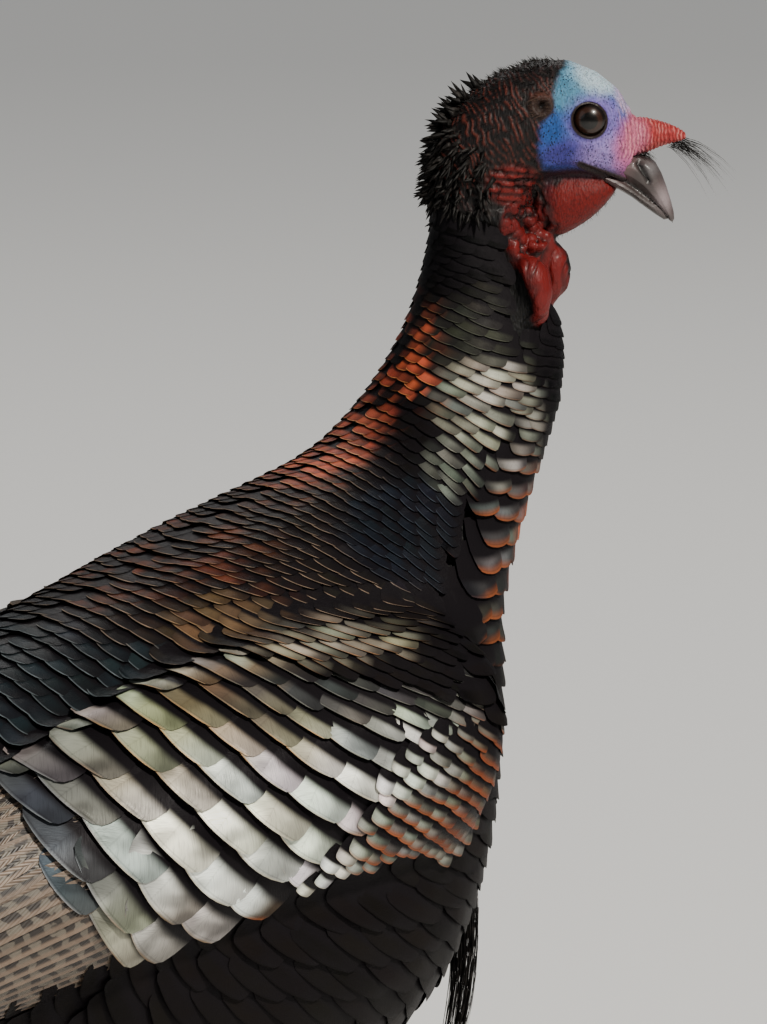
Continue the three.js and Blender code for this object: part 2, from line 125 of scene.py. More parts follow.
def far_from(places: Array, centre: Sequence[float], reach: Sequence[float]) -> Array:
    """How far places are from a centre, where an ellipsoid of that reach is at 1."""
    return np.linalg.norm((places - centre) / reach, axis=1)


def off_line(places: Array, ends: Sequence[Sequence[float]]) -> tuple[Array, Array]:
    """The share along a short line given as x and z, and the distance from it, of places."""
    start, stop = (np.array(end) for end in ends)
    run = stop - start
    t = np.clip(((places[:, ::2] - start) @ run) / (run @ run), 0.0, 1.0)
    return t, np.linalg.norm(places[:, ::2] - start - t[:, None] * run, axis=1)


def wash(hue: Array, share: Array, colour: str, *specks: float) -> None:
    """Lays a colour, and its share of specks, over hues as far as the shares say."""
    hue += share[:, None] * (np.append(linear(colour), specks) - hue)


def darken(hue: Array, share: Array) -> None:
    """Takes a share of their light from hues."""
    hue[:, :3] *= (1.0 - share)[:, None]


def ripple(points: Array, wavelength: float, seed: int, octaves: int = 3) -> Array:
    """A smooth seeded noise from crossed waves, about -1 to 1.

    Args:
        points: places, one row each.
        wavelength: the length of its longest waves, in the points' unit.
        seed: picks the waves' directions and phases.
        octaves: how many times the waves are halved and added.

    Returns:
        One value for each point.
    """
    rng = np.random.default_rng(seed)
    total = np.zeros(len(points))
    for octave in range(octaves):
        waves = unit(rng.normal(size=(6, 3))) * (TURN * 2.0**octave / wavelength)
        phases = rng.uniform(0.0, TURN, 6)
        total += np.sin(points @ waves.T + phases).sum(axis=1) / (3.0 * 1.7**octave)
    return total / 1.6


# ---- the carriage
@dataclass(frozen=True)
class Carriage:
    """The line through the bird's head, neck and trunk, and how far its head is turned."""

    line: tuple[tuple[float, float], ...] = (
        (112, 768), (88, 769), (66, 760), (56, 745), (54.5, 732), (56, 709), (60, 683), (55, 651),
        (39, 614), (20, 576), (9, 537), (-7, 500), (-34, 472), (-84, 453), (-152, 439), (-235, 430),
        (-309, 433), (-358, 445), (-401, 445),
    )  # fmt: skip
    neck_top: int = 4
    axis_x: float = 60.0
    turn: float = math.radians(-33.0)
    turn_length: float = 205.0
    steps: int = 10

    def samples(self) -> tuple[Array, Array]:
        """Close points of the line, and each one's length from the top of the neck."""
        control = np.array(self.line, float)
        padded = np.vstack([2 * control[0] - control[1], control, 2 * control[-1] - control[-2]])
        points = []
        for i in range(len(control) - 1):
            a, b, c, d = padded[i : i + 4]
            for t in np.arange(self.steps) / self.steps:
                curve = 2 * b + (c - a) * t + (2 * a - 5 * b + 4 * c - d) * t**2
                points.append((curve + (3 * b - a - 3 * c + d) * t**3) / 2)
        points.append(control[-1])
        line = np.array(points)
        length = np.concatenate([[0.0], np.cumsum(np.linalg.norm(np.diff(line, axis=0), axis=1))])
        return line, length - length[self.neck_top * self.steps]

    def tangents(self) -> Array:
        """The line's direction at each of its samples."""
        return unit(np.gradient(self.samples()[0], axis=0))

    def nearest(self, points: Array) -> tuple[Array, Array]:
        """Each point's length along the line, and the index of the line's nearest sample."""
        line, length = self.samples()
        index = np.empty(len(points), int)
        for start in range(0, len(points), BATCH):
            part = points[start : start + BATCH, ::2]
            gaps = ((part[:, None, :] - line[None]) ** 2).sum(axis=2)
            index[start : start + BATCH] = gaps.argmin(axis=1)
        offset = ((points[:, ::2] - line[index]) * self.tangents()[index]).sum(axis=1)
        return length[index] + offset, index

    def shares(self, points: Array) -> Array:
        """How much of the head's turn reaches each point."""
        return smoothstep(self.nearest(points)[0], self.turn_length, 0.0)

    def turned(self, points: Array, shares: Array, about: float | None = None) -> Array:
        """Points, or directions where about is nought, turned by shares of the head's turn."""
        centre = self.axis_x if about is None else about
        c, s = np.cos(self.turn * shares), np.sin(self.turn * shares)
        x, y = points[:, 0] - centre, points[:, 1]
        return np.column_stack([centre + x * c - y * s, x * s + y * c, points[:, 2]])

    def straight(self, points: Array) -> Array:
        """Points of the bird as places on the straight bird."""
        return self.turned(points, -self.shares(points))

    def unwrapped(self, points: Array) -> tuple[Array, Array]:
        """Length along the line and angle round it, from the back's middle, of straight points."""
        length, index = self.nearest(points)
        tangent = self.tangents()[index]
        out = points[:, ::2] - self.samples()[0][index]
        rise = out[:, 0] * tangent[:, 1] - out[:, 1] * tangent[:, 0]
        return length, np.arctan2(points[:, 1], rise)


CARRIAGE = Carriage()


# ---- shaders
class Value:
    """A node socket that takes part in plain arithmetic."""

    def __init__(self, tree: bpy.types.NodeTree, socket: bpy.types.NodeSocket) -> None:
        """Wraps one output socket of a tree."""
        self.tree = tree
        self.socket = socket

    def node(self, kind: str, settings: Settings, inputs: Inputs) -> "Value":
        """Adds a node to this value's tree and wraps its first output."""
        return make_node(self.tree, kind, settings, inputs)

    def math(self, operation: str, *others: Any) -> "Value":
        """This value and others put through a Math node."""
        inputs = dict(enumerate((self, *others)))
        return self.node("Math", {"operation": operation}, inputs)

    def vector(self, operation: str, *others: Any) -> "Value":
        """This vector and others put through a Vector Math node."""
        inputs = dict(enumerate((self, *others)))
        return self.node("VectorMath", {"operation": operation}, inputs)

    def __add__(self, other: Any) -> "Value":
        """self + other."""
        return self.math("ADD", other)

    __radd__ = __add__

    def __mul__(self, other: Any) -> "Value":
        """self * other."""
        return self.math("MULTIPLY", other)

    __rmul__ = __mul__

    def __sub__(self, other: Any) -> "Value":
        """self - other."""
        return self.math("SUBTRACT", other)

    def __rsub__(self, other: Any) -> "Value":
        """other - self."""
        return self.node("Math", {"operation": "SUBTRACT"}, {0: other, 1: self})

    def __truediv__(self, other: Any) -> "Value":
        """self / other."""
        return self.math("DIVIDE", other)

    def rise(self, low: float, high: float) -> "Value":
        """A smooth step from 0 at low to 1 at high."""
        settings = {"interpolation_type": "SMOOTHSTEP"}
        if low < high:
            return self.node("MapRange", settings, {0: self, 1: low, 2: high})
        return 1.0 - self.rise(high, low)

    def mix(self, other: Any, share: Any, blend: str = "MIX") -> "Value":
        """This colour mixed with another by a share."""
        settings = {"data_type": "RGBA", "blend_type": blend, "clamp_factor": True}
        return make_node(self.tree, "Mix", settings, {0: share, 6: self, 7: other}, 2)


def make_node(
    tree: bpy.types.NodeTree, kind: str, settings: Settings, inputs: Inputs, output: Any = 0
) -> Value:
    """Adds a node: its type, then its settings, then its sockets.

    Args:
        tree: the node tree that it goes in.
        kind: the node's type, without the ShaderNode that it starts with.
        settings: attributes that are set before any socket.
        inputs: a constant or a Value for each socket's name or index.
        output: the output that is wrapped.

    Returns:
        The wrapped output.
    """
    node = tree.nodes.new(f"ShaderNode{kind}")
    for name, value in settings.items():
        setattr(node, name, value)
    for key, value in inputs.items():
        if isinstance(value, Value):
            tree.links.new(value.socket, node.inputs[key])
        elif isinstance(value, np.ndarray):
            node.inputs[key].default_value = (*value.tolist(), 1.0)[:4]
        else:
            node.inputs[key].default_value = value
    return Value(tree, node.outputs[output])


class Finish:
    """A material under construction, with the sources that patterns start from."""

    def __init__(self, name: str) -> None:
        """Starts an empty material."""
        self.material = bpy.data.materials.new(name)
        self.material.use_nodes = True
        self.tree = self.material.node_tree
        self.tree.nodes.clear()

    def node(self, kind: str, settings: Settings, inputs: Inputs, output: Any = 0) -> Value:
        """Adds any node to the material."""
        return make_node(self.tree, kind, settings, inputs, output)

    def place(self, scale: float = 1.0, stretch: Triple = (1.0, 1.0, 1.0)) -> Value:
        """Object coordinates, scaled."""
        source = self.node("TexCoord", {}, {}, "Object")
        return source.vector("MULTIPLY", tuple(scale * s for s in stretch))

    def attribute(self, name: str, output: str = "Color") -> Value:
        """One attribute of the mesh."""
        return self.node("Attribute", {"attribute_name": name}, {}, output)

    def vane(self) -> tuple[Value, Value]:
        """The across and along coordinates of a feather, each 0 to 1."""
        uv = self.node("UVMap", {"uv_map": "Vane"}, {}, "UV")
        across = self.node("SeparateXYZ", {}, {0: uv})
        return across, Value(self.tree, across.socket.node.outputs[1])

    def noise(self, vector: Value, scale: float, detail: float = 2.0) -> Value:
        """Noise of 0 to 1 over a vector."""
        inputs = {"Vector": vector, "Scale": scale, "Detail": detail}
        return self.node("TexNoise", {}, inputs, 0)

    def cells(self, vector: Value, scale: float) -> Value:
        """The distance to the nearest of many scattered points."""
        return self.node("TexVoronoi", {}, {"Vector": vector, "Scale": scale}, "Distance")

    def bump(self, height: Value, depth: float, strength: float = 1.0) -> Value:
        """A normal from a height in units of depth metres."""
        inputs = {"Height": height, "Distance": depth, "Strength": strength}
        return self.node("Bump", {}, inputs, "Normal")

    def blend(self, first: Any, second: Any, share: Any) -> Value:
        """Two colours mixed by a share of the second."""
        settings = {"data_type": "RGBA", "blend_type": "MIX", "clamp_factor": True}
        return self.node("Mix", settings, {0: share, 6: first, 7: second}, 2)

    def close(self, colour: Any, roughness: Any, **others: Any) -> Material:
        """Ends the material with one Principled shader.

        Args:
            colour: the base colour.
            roughness: the roughness.
            others: more sockets, with _ for the spaces in their names.

        Returns:
            The finished material.
        """
        inputs = {"Base Color": colour, "Roughness": roughness}
        inputs.update({key.replace("_", " "): value for key, value in others.items()})
        shader = self.node("BsdfPrincipled", {}, inputs, "BSDF")
        output = self.tree.nodes.new("ShaderNodeOutputMaterial")
        self.tree.links.new(shader.socket, output.inputs["Surface"])
        return self.material


# ---- surfaces
def mesh_object(name: str, points: Array, faces: Array, smooth: bool = True) -> Piece:
    """A new object from arrays.

    Args:
        name: the piece's name.
        points: its vertices in bird millimetres.
        faces: vertex indices, one row for each face, all rows of one length.
        smooth: whether its faces are shaded smooth.

    Returns:
        The linked object, at the origin.
    """
    mesh = bpy.data.meshes.new(name)
    corners = faces.shape[1]
    mesh.vertices.add(len(points))
    mesh.vertices.foreach_set("co", to_frame(points).astype(np.float32).ravel())
    mesh.loops.add(faces.size)
    mesh.loops.foreach_set("vertex_index", faces.astype(np.int32).ravel())
    mesh.polygons.add(len(faces))
    mesh.polygons.foreach_set("loop_start", np.arange(0, faces.size, corners, dtype=np.int32))
    mesh.polygons.foreach_set("use_smooth", np.full(len(faces), smooth))
    mesh.update(calc_edges=True)
    piece = bpy.data.objects.new(name, mesh)
    bpy.context.scene.collection.objects.link(piece)
    return piece


def paint(mesh: bpy.types.Mesh, name: str, colours: Array) -> None:
    """Stores one colour for each vertex, as three or four numbers each."""
    full = np.ones((len(colours), 4), np.float32)
    full[:, : colours.shape[1]] = colours
    mesh.color_attributes.new(name, "FLOAT_COLOR", "POINT").data.foreach_set("color", full.ravel())


def mesh_arrays(mesh: bpy.types.Mesh) -> tuple[Array, Array]:
    """A mesh's vertices in bird millimetres, and its triangles."""
    points = np.empty(len(mesh.vertices) * 3)
    mesh.vertices.foreach_get("co", points)
    mesh.calc_loop_triangles()
    faces = np.empty(len(mesh.loop_triangles) * 3, int)
    mesh.loop_triangles.foreach_get("vertices", faces)
    return to_bird(points.reshape(-1, 3)), faces.reshape(-1, 3)


def swollen(nodes: Iterable[str], swell: float) -> tuple[Array, Array]:
    """CAD solids as one set of arrays, each one grown along its normals by swell millimetres."""
    points, faces, count = [], [], 0
    for name in nodes:
        form = bmesh.new()
        form.from_mesh(bpy.data.objects[name].data)
        bmesh.ops.remove_doubles(form, verts=form.verts, dist=1e-6)
        bmesh.ops.triangulate(form, faces=form.faces)
        form.normal_update()
        form.verts.index_update()
        own = to_bird(np.array([v.co for v in form.verts]))
        points.append(own + swell * np.array([v.normal for v in form.verts]))
        faces.append(count + np.array([[v.index for v in f.verts] for f in form.faces]))
        count += len(own)
        form.free()
    return np.vstack(points), np.vstack(faces)


def fused(points: Array, faces: Array, voxel: float) -> tuple[Array, Array]:
    """Overlapping closed forms made one by a voxel remesh.

    Args:
        points: vertices in bird millimetres.
        faces: triangles.
        voxel: the voxel's size in millimetres.

    Returns:
        The vertices and triangles of the fused form.
    """
    piece = mesh_object("fusing", points, faces)
    remesh = piece.modifiers.new("fuse", "REMESH")
    remesh.mode = "VOXEL"
    remesh.voxel_size = voxel * MM
    evaluated = piece.evaluated_get(bpy.context.evaluated_depsgraph_get())
    arrays = mesh_arrays(evaluated.to_mesh())
    evaluated.to_mesh_clear()
    bpy.data.objects.remove(piece)
    return arrays


def shown(form: bmesh.types.BMesh, name: str) -> Piece:
    """A finished bmesh as a new linked object."""
    mesh = bpy.data.meshes.new(name)
    form.to_mesh(mesh)
    form.free()
    piece = bpy.data.objects.new(name, mesh)
    bpy.context.scene.collection.objects.link(piece)
    return piece


def lay_maps(mesh: bpy.types.Mesh, faces: Array, bake: Array, own: Array) -> None:
    """Stores the two UV maps of a piece, given one place for each vertex."""
    for label, values in (("OFBake", bake), ("Vane", own)):
        layer = mesh.uv_layers.new(name=label)
        layer.uv.foreach_set("vector", values[faces.ravel()].astype(np.float32).ravel())


class Surface:
    """A closed triangle surface, and what the feathers and the skin ask of it."""

    def __init__(self, points: Array, faces: Array) -> None:
        """Keeps the arrays and finds the edges."""
        self.points = points
        self.faces = faces
        pairs = np.sort(np.vstack([faces[:, [0, 1]], faces[:, [1, 2]], faces[:, [2, 0]]]), axis=1)
        keys = np.unique(pairs[:, 0].astype(np.int64) * len(points) + pairs[:, 1])
        self.edges = np.column_stack([keys // len(points), keys % len(points)])
        self.valence = np.bincount(self.edges.ravel(), minlength=len(points)).clip(min=1)

    def neighbours(self, values: Array) -> Array:
        """The mean of each vertex's neighbours, for one column of values or several."""
        a, b = self.edges.T
        columns = values.reshape(len(values), -1).T
        count = len(values)
        sums = [
            np.bincount(a, column[b], count) + np.bincount(b, column[a], count)
            for column in columns
        ]
        return (np.array(sums).T / self.valence[:, None]).reshape(values.shape)

    def relax(self, times: int, weights: Array | float = 1.0) -> None:
        """Smooths the vertices without shrinking the form, where the weights allow it."""
        weights = np.broadcast_to(weights, len(self.points))[:, None]
        for _ in range(times):
            for step in (0.55, -0.57):
                pull = self.neighbours(self.points) - self.points
                self.points = self.points + step * weights * pull

    def spread(self, values: Array, times: int) -> Array:
        """Values averaged over the surface."""
        for _ in range(times):
            values = 0.5 * values + 0.5 * self.neighbours(values)
        return values

    def gathered(self, values: Array) -> Array:
        """The faces' values, in columns, added up at their vertices."""
        count = len(self.points)
        sums = [sum(np.bincount(ids, column, count) for ids in self.faces.T) for column in values.T]
        return np.array(sums).T

    def normals(self) -> Array:
        """One unit normal for each vertex."""
        a, b, c = (self.points[self.faces[:, i]] for i in range(3))
        return unit(self.gathered(np.cross(b - a, c - a)))

    def slopes(self, values: Array) -> Array:
        """How one value for each vertex rises over the surface, as a vector for each vertex."""
        a, b, c = (self.points[self.faces[:, i]] for i in range(3))
        cross = np.cross(b - a, c - a)
        area = np.maximum(np.linalg.norm(cross, axis=1, keepdims=True), 1e-9)
        va, vb, vc = (values[self.faces[:, i], None] for i in range(3))
        rise = np.cross(cross / area, (c - b) * va + (a - c) * vb + (b - a) * vc)
        return self.gathered(rise) / np.maximum(self.gathered(area), 1e-9)

    def tree(self) -> BVHTree:
        """A search tree over the triangles, in bird millimetres."""
        return BVHTree.FromPolygons(self.points.tolist(), self.faces.tolist())


def distances(points: Array, surface: Surface, reach: float) -> Array:
    """How far each point is from a surface, or reach where it is farther."""
    tree = surface.tree()
    found = (tree.find_nearest(point, reach) for point in points.tolist())
    return np.array([reach if hit[0] is None else hit[3] for hit in found])


# ---- markings
@dataclass(frozen=True)
class Patch:
    """A soft-edged area of the straight bird with a colouring of its own."""

    centre: Triple
    reach: Triple
    sheen: str
    tip: str
    edge: float = 0.3  # how deep the tip's band is
    gloss: float = 0.5
    softness: float = 0.45
    patchy: bool = False

    def share(self, places: Array) -> Array:
        """How far each place of the straight bird takes this colouring, from 0 to 1."""
        mirrored = np.column_stack([places[:, 0], np.abs(places[:, 1]), places[:, 2]])
        far = far_from(mirrored, self.centre, self.reach)
        wave = 0.12 * ripple(places, 38.0, 5, 2)
        share = smoothstep(far + wave, 1.0 + self.softness / 2, 1.0 - self.softness / 2)
        return share * smoothstep(ripple(places, 24.0, 8, 2), -0.2, 0.5) if self.patchy else share


@dataclass(frozen=True)
class Markings:
    """A ground colouring and the patches laid over it, in order."""

    ground: Patch
    patches: tuple[Patch, ...] = ()

    def read(self, places: Array) -> tuple[Array, Array]:
        """The sheen with its gloss, and the tip with its strength, at straight places."""
        sheen, tip = np.zeros((2, len(places), 4))
        for patch in (self.ground, *self.patches):
            whole = patch is self.ground
            share = np.ones(len(places)) if whole else patch.share(places)
            wash(sheen, share, patch.sheen, patch.gloss)
            wash(tip, share, patch.tip, patch.edge)
        return sheen, tip


# ---- feathers
@dataclass(frozen=True)
class Lie:
    """How the feathers lie at one place of the straight bird."""

    place: Triple
    way: Triple
    gap: float  # from one row to the next
    width: float  # from one feather to the next in a row


@dataclass(frozen=True)
class Vane:
    """The cut of one kind of feather, in shares of its row gap or of its width."""

    overlap: float = 2.7
    breadth: float = 1.6
    depth: float = 0.15  # how far its root lies below its tip, in shares of its length
    camber: float = 0.018
    lift: float = 0.02  # how far its tip stands up, in shares of its length
    thickness: float = 0.25  # in millimetres
    roundness: float = 4.5  # 2 is an ellipse's end, and more is squarer
    roll: float = 0.035  # how far each side tilts, in shares of half its width
    scatter: float = 0.03


ALONG = np.array([0.0, 0.3, 0.58, 0.76, 0.88, 0.96, 1.0])
ACROSS = np.array([-1.0, -0.8, -0.4, 0.0, 0.4, 0.8, 1.0])


class Vanes:
    """The shared plan of a feather's mesh: a grid of quads over and under, closed at its rim."""

    def __init__(self, along: Array = ALONG, across: Array = ACROSS) -> None:
        """Numbers the vertices of one feather."""
        rows, columns = len(along), len(across)
        over = np.arange(rows * columns).reshape(rows, columns)
        under = over.copy()
        inner = (rows - 2) * (columns - 2)
        under[1:-1, 1:-1] = rows * columns + np.arange(inner).reshape(rows - 2, columns - 2)
        self.along, self.across = along, across
        self.count = rows * columns + inner
        self.faces = np.vstack([grid_quads(over), grid_quads(under)[:, ::-1]])
        self.rim = np.ones(self.count, bool)
        self.rim[over[1:-1, 1:-1].ravel()] = False
        self.rim[rows * columns :] = False

    def points(self, over: Array, under: Array) -> Array:
        """One feather after another: its upper grid, then the inner points of its lower one."""
        count = len(over)
        upper = over.reshape(count, -1, over.shape[-1])
        lower = under[:, 1:-1, 1:-1].reshape(count, -1, under.shape[-1])
        return np.concatenate([upper, lower], axis=1).reshape(-1, over.shape[-1])


def grid_quads(grid: Array) -> Array:
    """The quads of a grid of vertex numbers."""
    corners = (grid[:-1, :-1], grid[1:, :-1], grid[1:, 1:], grid[:-1, 1:])
    return np.stack([corner.ravel() for corner in corners], axis=1)


def feather_piece(
    name: str, plan: Vanes, over: Array, under: Array, sheen: Array, tip: Array, roots: Array
) -> Piece:
    """One joined mesh of feathers.

    Args:
        name: the piece's name.
        plan: the feather's numbering.
        over: feathers x rows x columns x 3 points of the upper faces.
        under: the same for the lower faces.
        sheen: a colour and gloss for each feather, or for each of its columns.
        tip: a colour and strength for each feather's end, or for each of its columns.
        roots: where each feather's root lies on the unwrapped skin, 0 to 1 both ways.

    Returns:
        The piece, with its colours and its two UV maps.
    """
    count = len(over)
    faces = (plan.faces[None] + np.arange(count)[:, None, None] * plan.count).reshape(-1, 4)
    piece = mesh_object(name, plan.points(over, under), faces)
    mesh = piece.data
    for label, colours in (("Sheen", sheen), ("Tip", tip)):
        colours = colours.reshape(count, 1, -1, 4)
        colours = np.broadcast_to(colours, (count, len(plan.along), len(plan.across), 4))
        paint(mesh, label, plan.points(colours, colours))
    across, along = np.meshgrid(0.5 + 0.5 * plan.across, plan.along)
    grid = np.stack([across, along], axis=-1)[None]
    local = plan.points(grid, grid)
    own = np.tile(local, (count, 1))
    patch = np.repeat(roots, plan.count, axis=0) + (own - 0.5) * OFBAKE_PATCH
    lay_maps(mesh, faces, patch, own)
    edges = np.empty(len(mesh.edges) * 2, np.int32)
    mesh.edges.foreach_get("vertices", edges)
    on_rim = plan.rim[edges.reshape(-1, 2) % plan.count].all(axis=1)
    sharp = mesh.attributes.new("sharp_edge", "BOOLEAN", "EDGE")
    sharp.data.foreach_set("value", on_rim)
    return piece


OFBAKE_PATCH = 0.003  # the side of one feather's patch on the baked map


def laid_out(frame: Sequence[Array], across: Array, height: Array, shift: Array) -> Array:
    """The upper grids of feathers.

    Args:
        frame: feathers x rows x 3 places of their middles, and their sides, normals and ways.
        across: feathers x rows x columns distances from the middle.
        height: the same of heights over it.
        shift: the same of shifts along it.

    Returns:
        Feathers x rows x columns x 3 points.
    """
    middle, side, normal, way = (part[:, :, None] for part in frame)
    over = middle + side * across[..., None] + normal * height[..., None]
    return over + way * shift[..., None]


@dataclass
class Tract:
    """A part of the coat whose feathers lie in rows on the bird's outline."""

    surface: Surface
    inside: Array  # a share for each vertex, the tract's own where it is over a half
    lies: Sequence[Lie]
    vane: Vane
    seed: int
    ridge: bool = True  # whether its middle is the ridge of the back
    solved: dict[str, Array] = field(default_factory=dict)

    def solve(self) -> None:
        """Finds the lie, the rows and the places along them at each vertex."""
        points = self.surface.points
        shares = CARRIAGE.shares(points)
        straight = CARRIAGE.turned(points, -shares)
        side = np.where(straight[:, 1] < 0, -1.0, 1.0)
        mirrored = straight * np.column_stack([np.ones_like(side), side, np.ones_like(side)])
        places = np.array([lie.place for lie in self.lies])
        ways = unit(np.array([lie.way for lie in self.lies]))
        sizes = np.array([(lie.gap, lie.width) for lie in self.lies])
        far = np.linalg.norm(mirrored[:, None] - places[None], axis=2)
        weights = 1.0 / (far + 6.0) ** 3.5
        weights /= weights.sum(axis=1, keepdims=True)
        way = weights @ ways
        way[:, 1] *= side * smoothstep(mirrored[:, 1], 0.0, 12.0)
        way = CARRIAGE.turned(way, shares, 0.0)
        normal = self.surface.normals()
        way = flattened(self.surface.spread(flattened(way, normal), 2), normal)
        size = weights @ sizes
        self.solved["size"] = size.copy()
        sideways = np.cross(way, normal) * side[:, None] if self.ridge else np.cross(way, normal)
        member = self.surface.spread((self.inside > 0.5).astype(float), 2) * self.inside > 0.0
        keep = member[self.surface.edges].all(axis=1)
        edges = self.surface.edges[keep]
        step = points[edges[:, 1]] - points[edges[:, 0]]
        self.solved["way"] = way
        self.solved["normal"] = normal
        for name, field_way, gap in (("row", way, size[:, 0]), ("place", sideways, size[:, 1])):
            flow = field_way / gap[:, None]
            drop = 0.5 * (flow[edges[:, 0]] + flow[edges[:, 1]])
            target = (drop * step).sum(axis=1)
            pins = np.zeros(len(points))
            goal = np.zeros(len(points))
            if self.ridge and name == "place":
                _, angle = CARRIAGE.unwrapped(straight)
                pins = 2.0 * ((np.abs(mirrored[:, 1]) < 8.0) & (np.abs(angle) < 1.0))
                goal = mirrored[:, 1] / gap
            self.solved[name] = potential(len(points), edges, target, pins, goal)
            slope = np.linalg.norm(self.surface.slopes(self.solved[name]), axis=1)
            own = 1.0 / np.maximum(self.surface.spread(slope, 3), 1e-6)
            column = 0 if name == "row" else 1
            self.solved["size"][:, column] = np.clip(own, 0.75 * gap, 2.2 * gap)

    def roots(self) -> dict[str, Array]:
        """The feathers' roots: where each row crosses every half or whole place along it."""
        row, place = self.solved["row"], self.solved["place"]
        faces = self.surface.faces[(self.inside[self.surface.faces] > 0.5).all(axis=1)]
        values = row[faces]
        found: list[tuple[Array, Array, Array]] = []
        first = np.ceil(values.min(axis=1))
        for extra in range(int(np.ptp(values, axis=1).max()) + 1):
            level = first + extra
            crossing = level < values.max(axis=1)
            found += self.crossings(faces[crossing], level[crossing], row, place)
        corners, weights = (np.concatenate([part[i] for part in found]) for i in (0, 1))
        point = self.at(self.surface.points, corners, weights)
        size = self.at(self.solved["size"], corners, weights)
        alone = self.apart(point, 0.4 * size.min(axis=1))
        return {"point": point[alone], "size": size[alone]}

    @staticmethod
    def apart(points: Array, reach: Array) -> Array:
        """Which points to keep so that none lies within its reach of another."""
        tree = KDTree(len(points))
        for i, point in enumerate(points.tolist()):
            tree.insert(point, i)
        tree.balance()
        kept = np.ones(len(points), bool)
        for i, point in enumerate(points.tolist()):
            if kept[i]:
                for _, other, _ in tree.find_range(point, float(reach[i])):
                    if other > i:
                        kept[other] = False
        return kept

    def crossings(self, faces: Array, level: Array, row: Array, place: Array) -> list:
        """Roots on one set of row levels, each as a face's corners and their weights."""
        below = row[faces] < level[:, None]
        alone = np.where(below.sum(axis=1) == 1, below.argmax(axis=1), (~below).argmax(axis=1))
        order = (alone[:, None] + np.arange(3)) % 3
        faces = np.take_along_axis(faces, order, axis=1)
        value = row[faces]
        ends = []
        for other in (1, 2):
            t = (level - value[:, 0]) / (value[:, other] - value[:, 0])
            weight = np.zeros((len(faces), 3))
            weight[:, 0] = 1 - t
            weight[:, other] = t
            ends.append(weight)
        spots = place[faces]
        start, stop = ((spots * weight).sum(axis=1) for weight in ends)
        shift = np.where(level % 2 == 0, 0.0, 0.5) + 0.03
        low = np.ceil(np.minimum(start, stop) - shift)
        found = []
        for extra in (0, 1):
            target = low + extra + shift
            hit = (target < np.maximum(start, stop)) & (np.abs(stop - start) > 1e-9)
            middle = (low + extra == 0) & (level % 2 == 0)
            hit &= ~(middle & self.ridge & (self.surface.points[faces[:, 0], 1] > 0))
            t = ((target - start) / np.where(np.abs(stop - start) > 1e-9, stop - start, 1.0))[hit]
            weight = ends[0][hit] * (1 - t)[:, None] + ends[1][hit] * t[:, None]
            found.append((faces[hit], weight))
        return found

    @staticmethod
    def at(values: Array, corners: Array, weights: Array) -> Array:
        """Vertex values read at places inside faces."""
        return (values[corners] * weights[..., None]).sum(axis=1)


def potential(count: int, edges: Array, target: Array, pins: Array, goal: Array) -> Array:
    """Values whose differences along the edges come nearest to the targets.

    Args:
        count: how many vertices there are.
        edges: pairs of vertices.
        target: the wanted rise along each edge.
        pins: how firmly each vertex is held to its goal.
        goal: the held vertices' values.

    Returns:
        One value for each vertex, solved by conjugate gradients.
    """
    a, b = edges.T
    diagonal = np.bincount(edges.ravel(), minlength=count) + pins + 1e-6

    def applied(x: Array) -> Array:
        """What the equations make of values."""
        return diagonal * x - np.bincount(a, x[b], count) - np.bincount(b, x[a], count)

    right = np.bincount(b, target, count) - np.bincount(a, target, count) + pins * goal
    x = np.zeros(count)
    residual = right.copy()
    scaled = residual / diagonal
    search = scaled.copy()
    energy = residual @ scaled
    for _ in range(900):
        image = applied(search)
        step = energy / (search @ image)
        x += step * search
        residual -= step * image
        scaled = residual / diagonal
        fresh = residual @ scaled
        if fresh < 1e-7:
            break
        search = scaled + (fresh / energy) * search
        energy = fresh
    return x


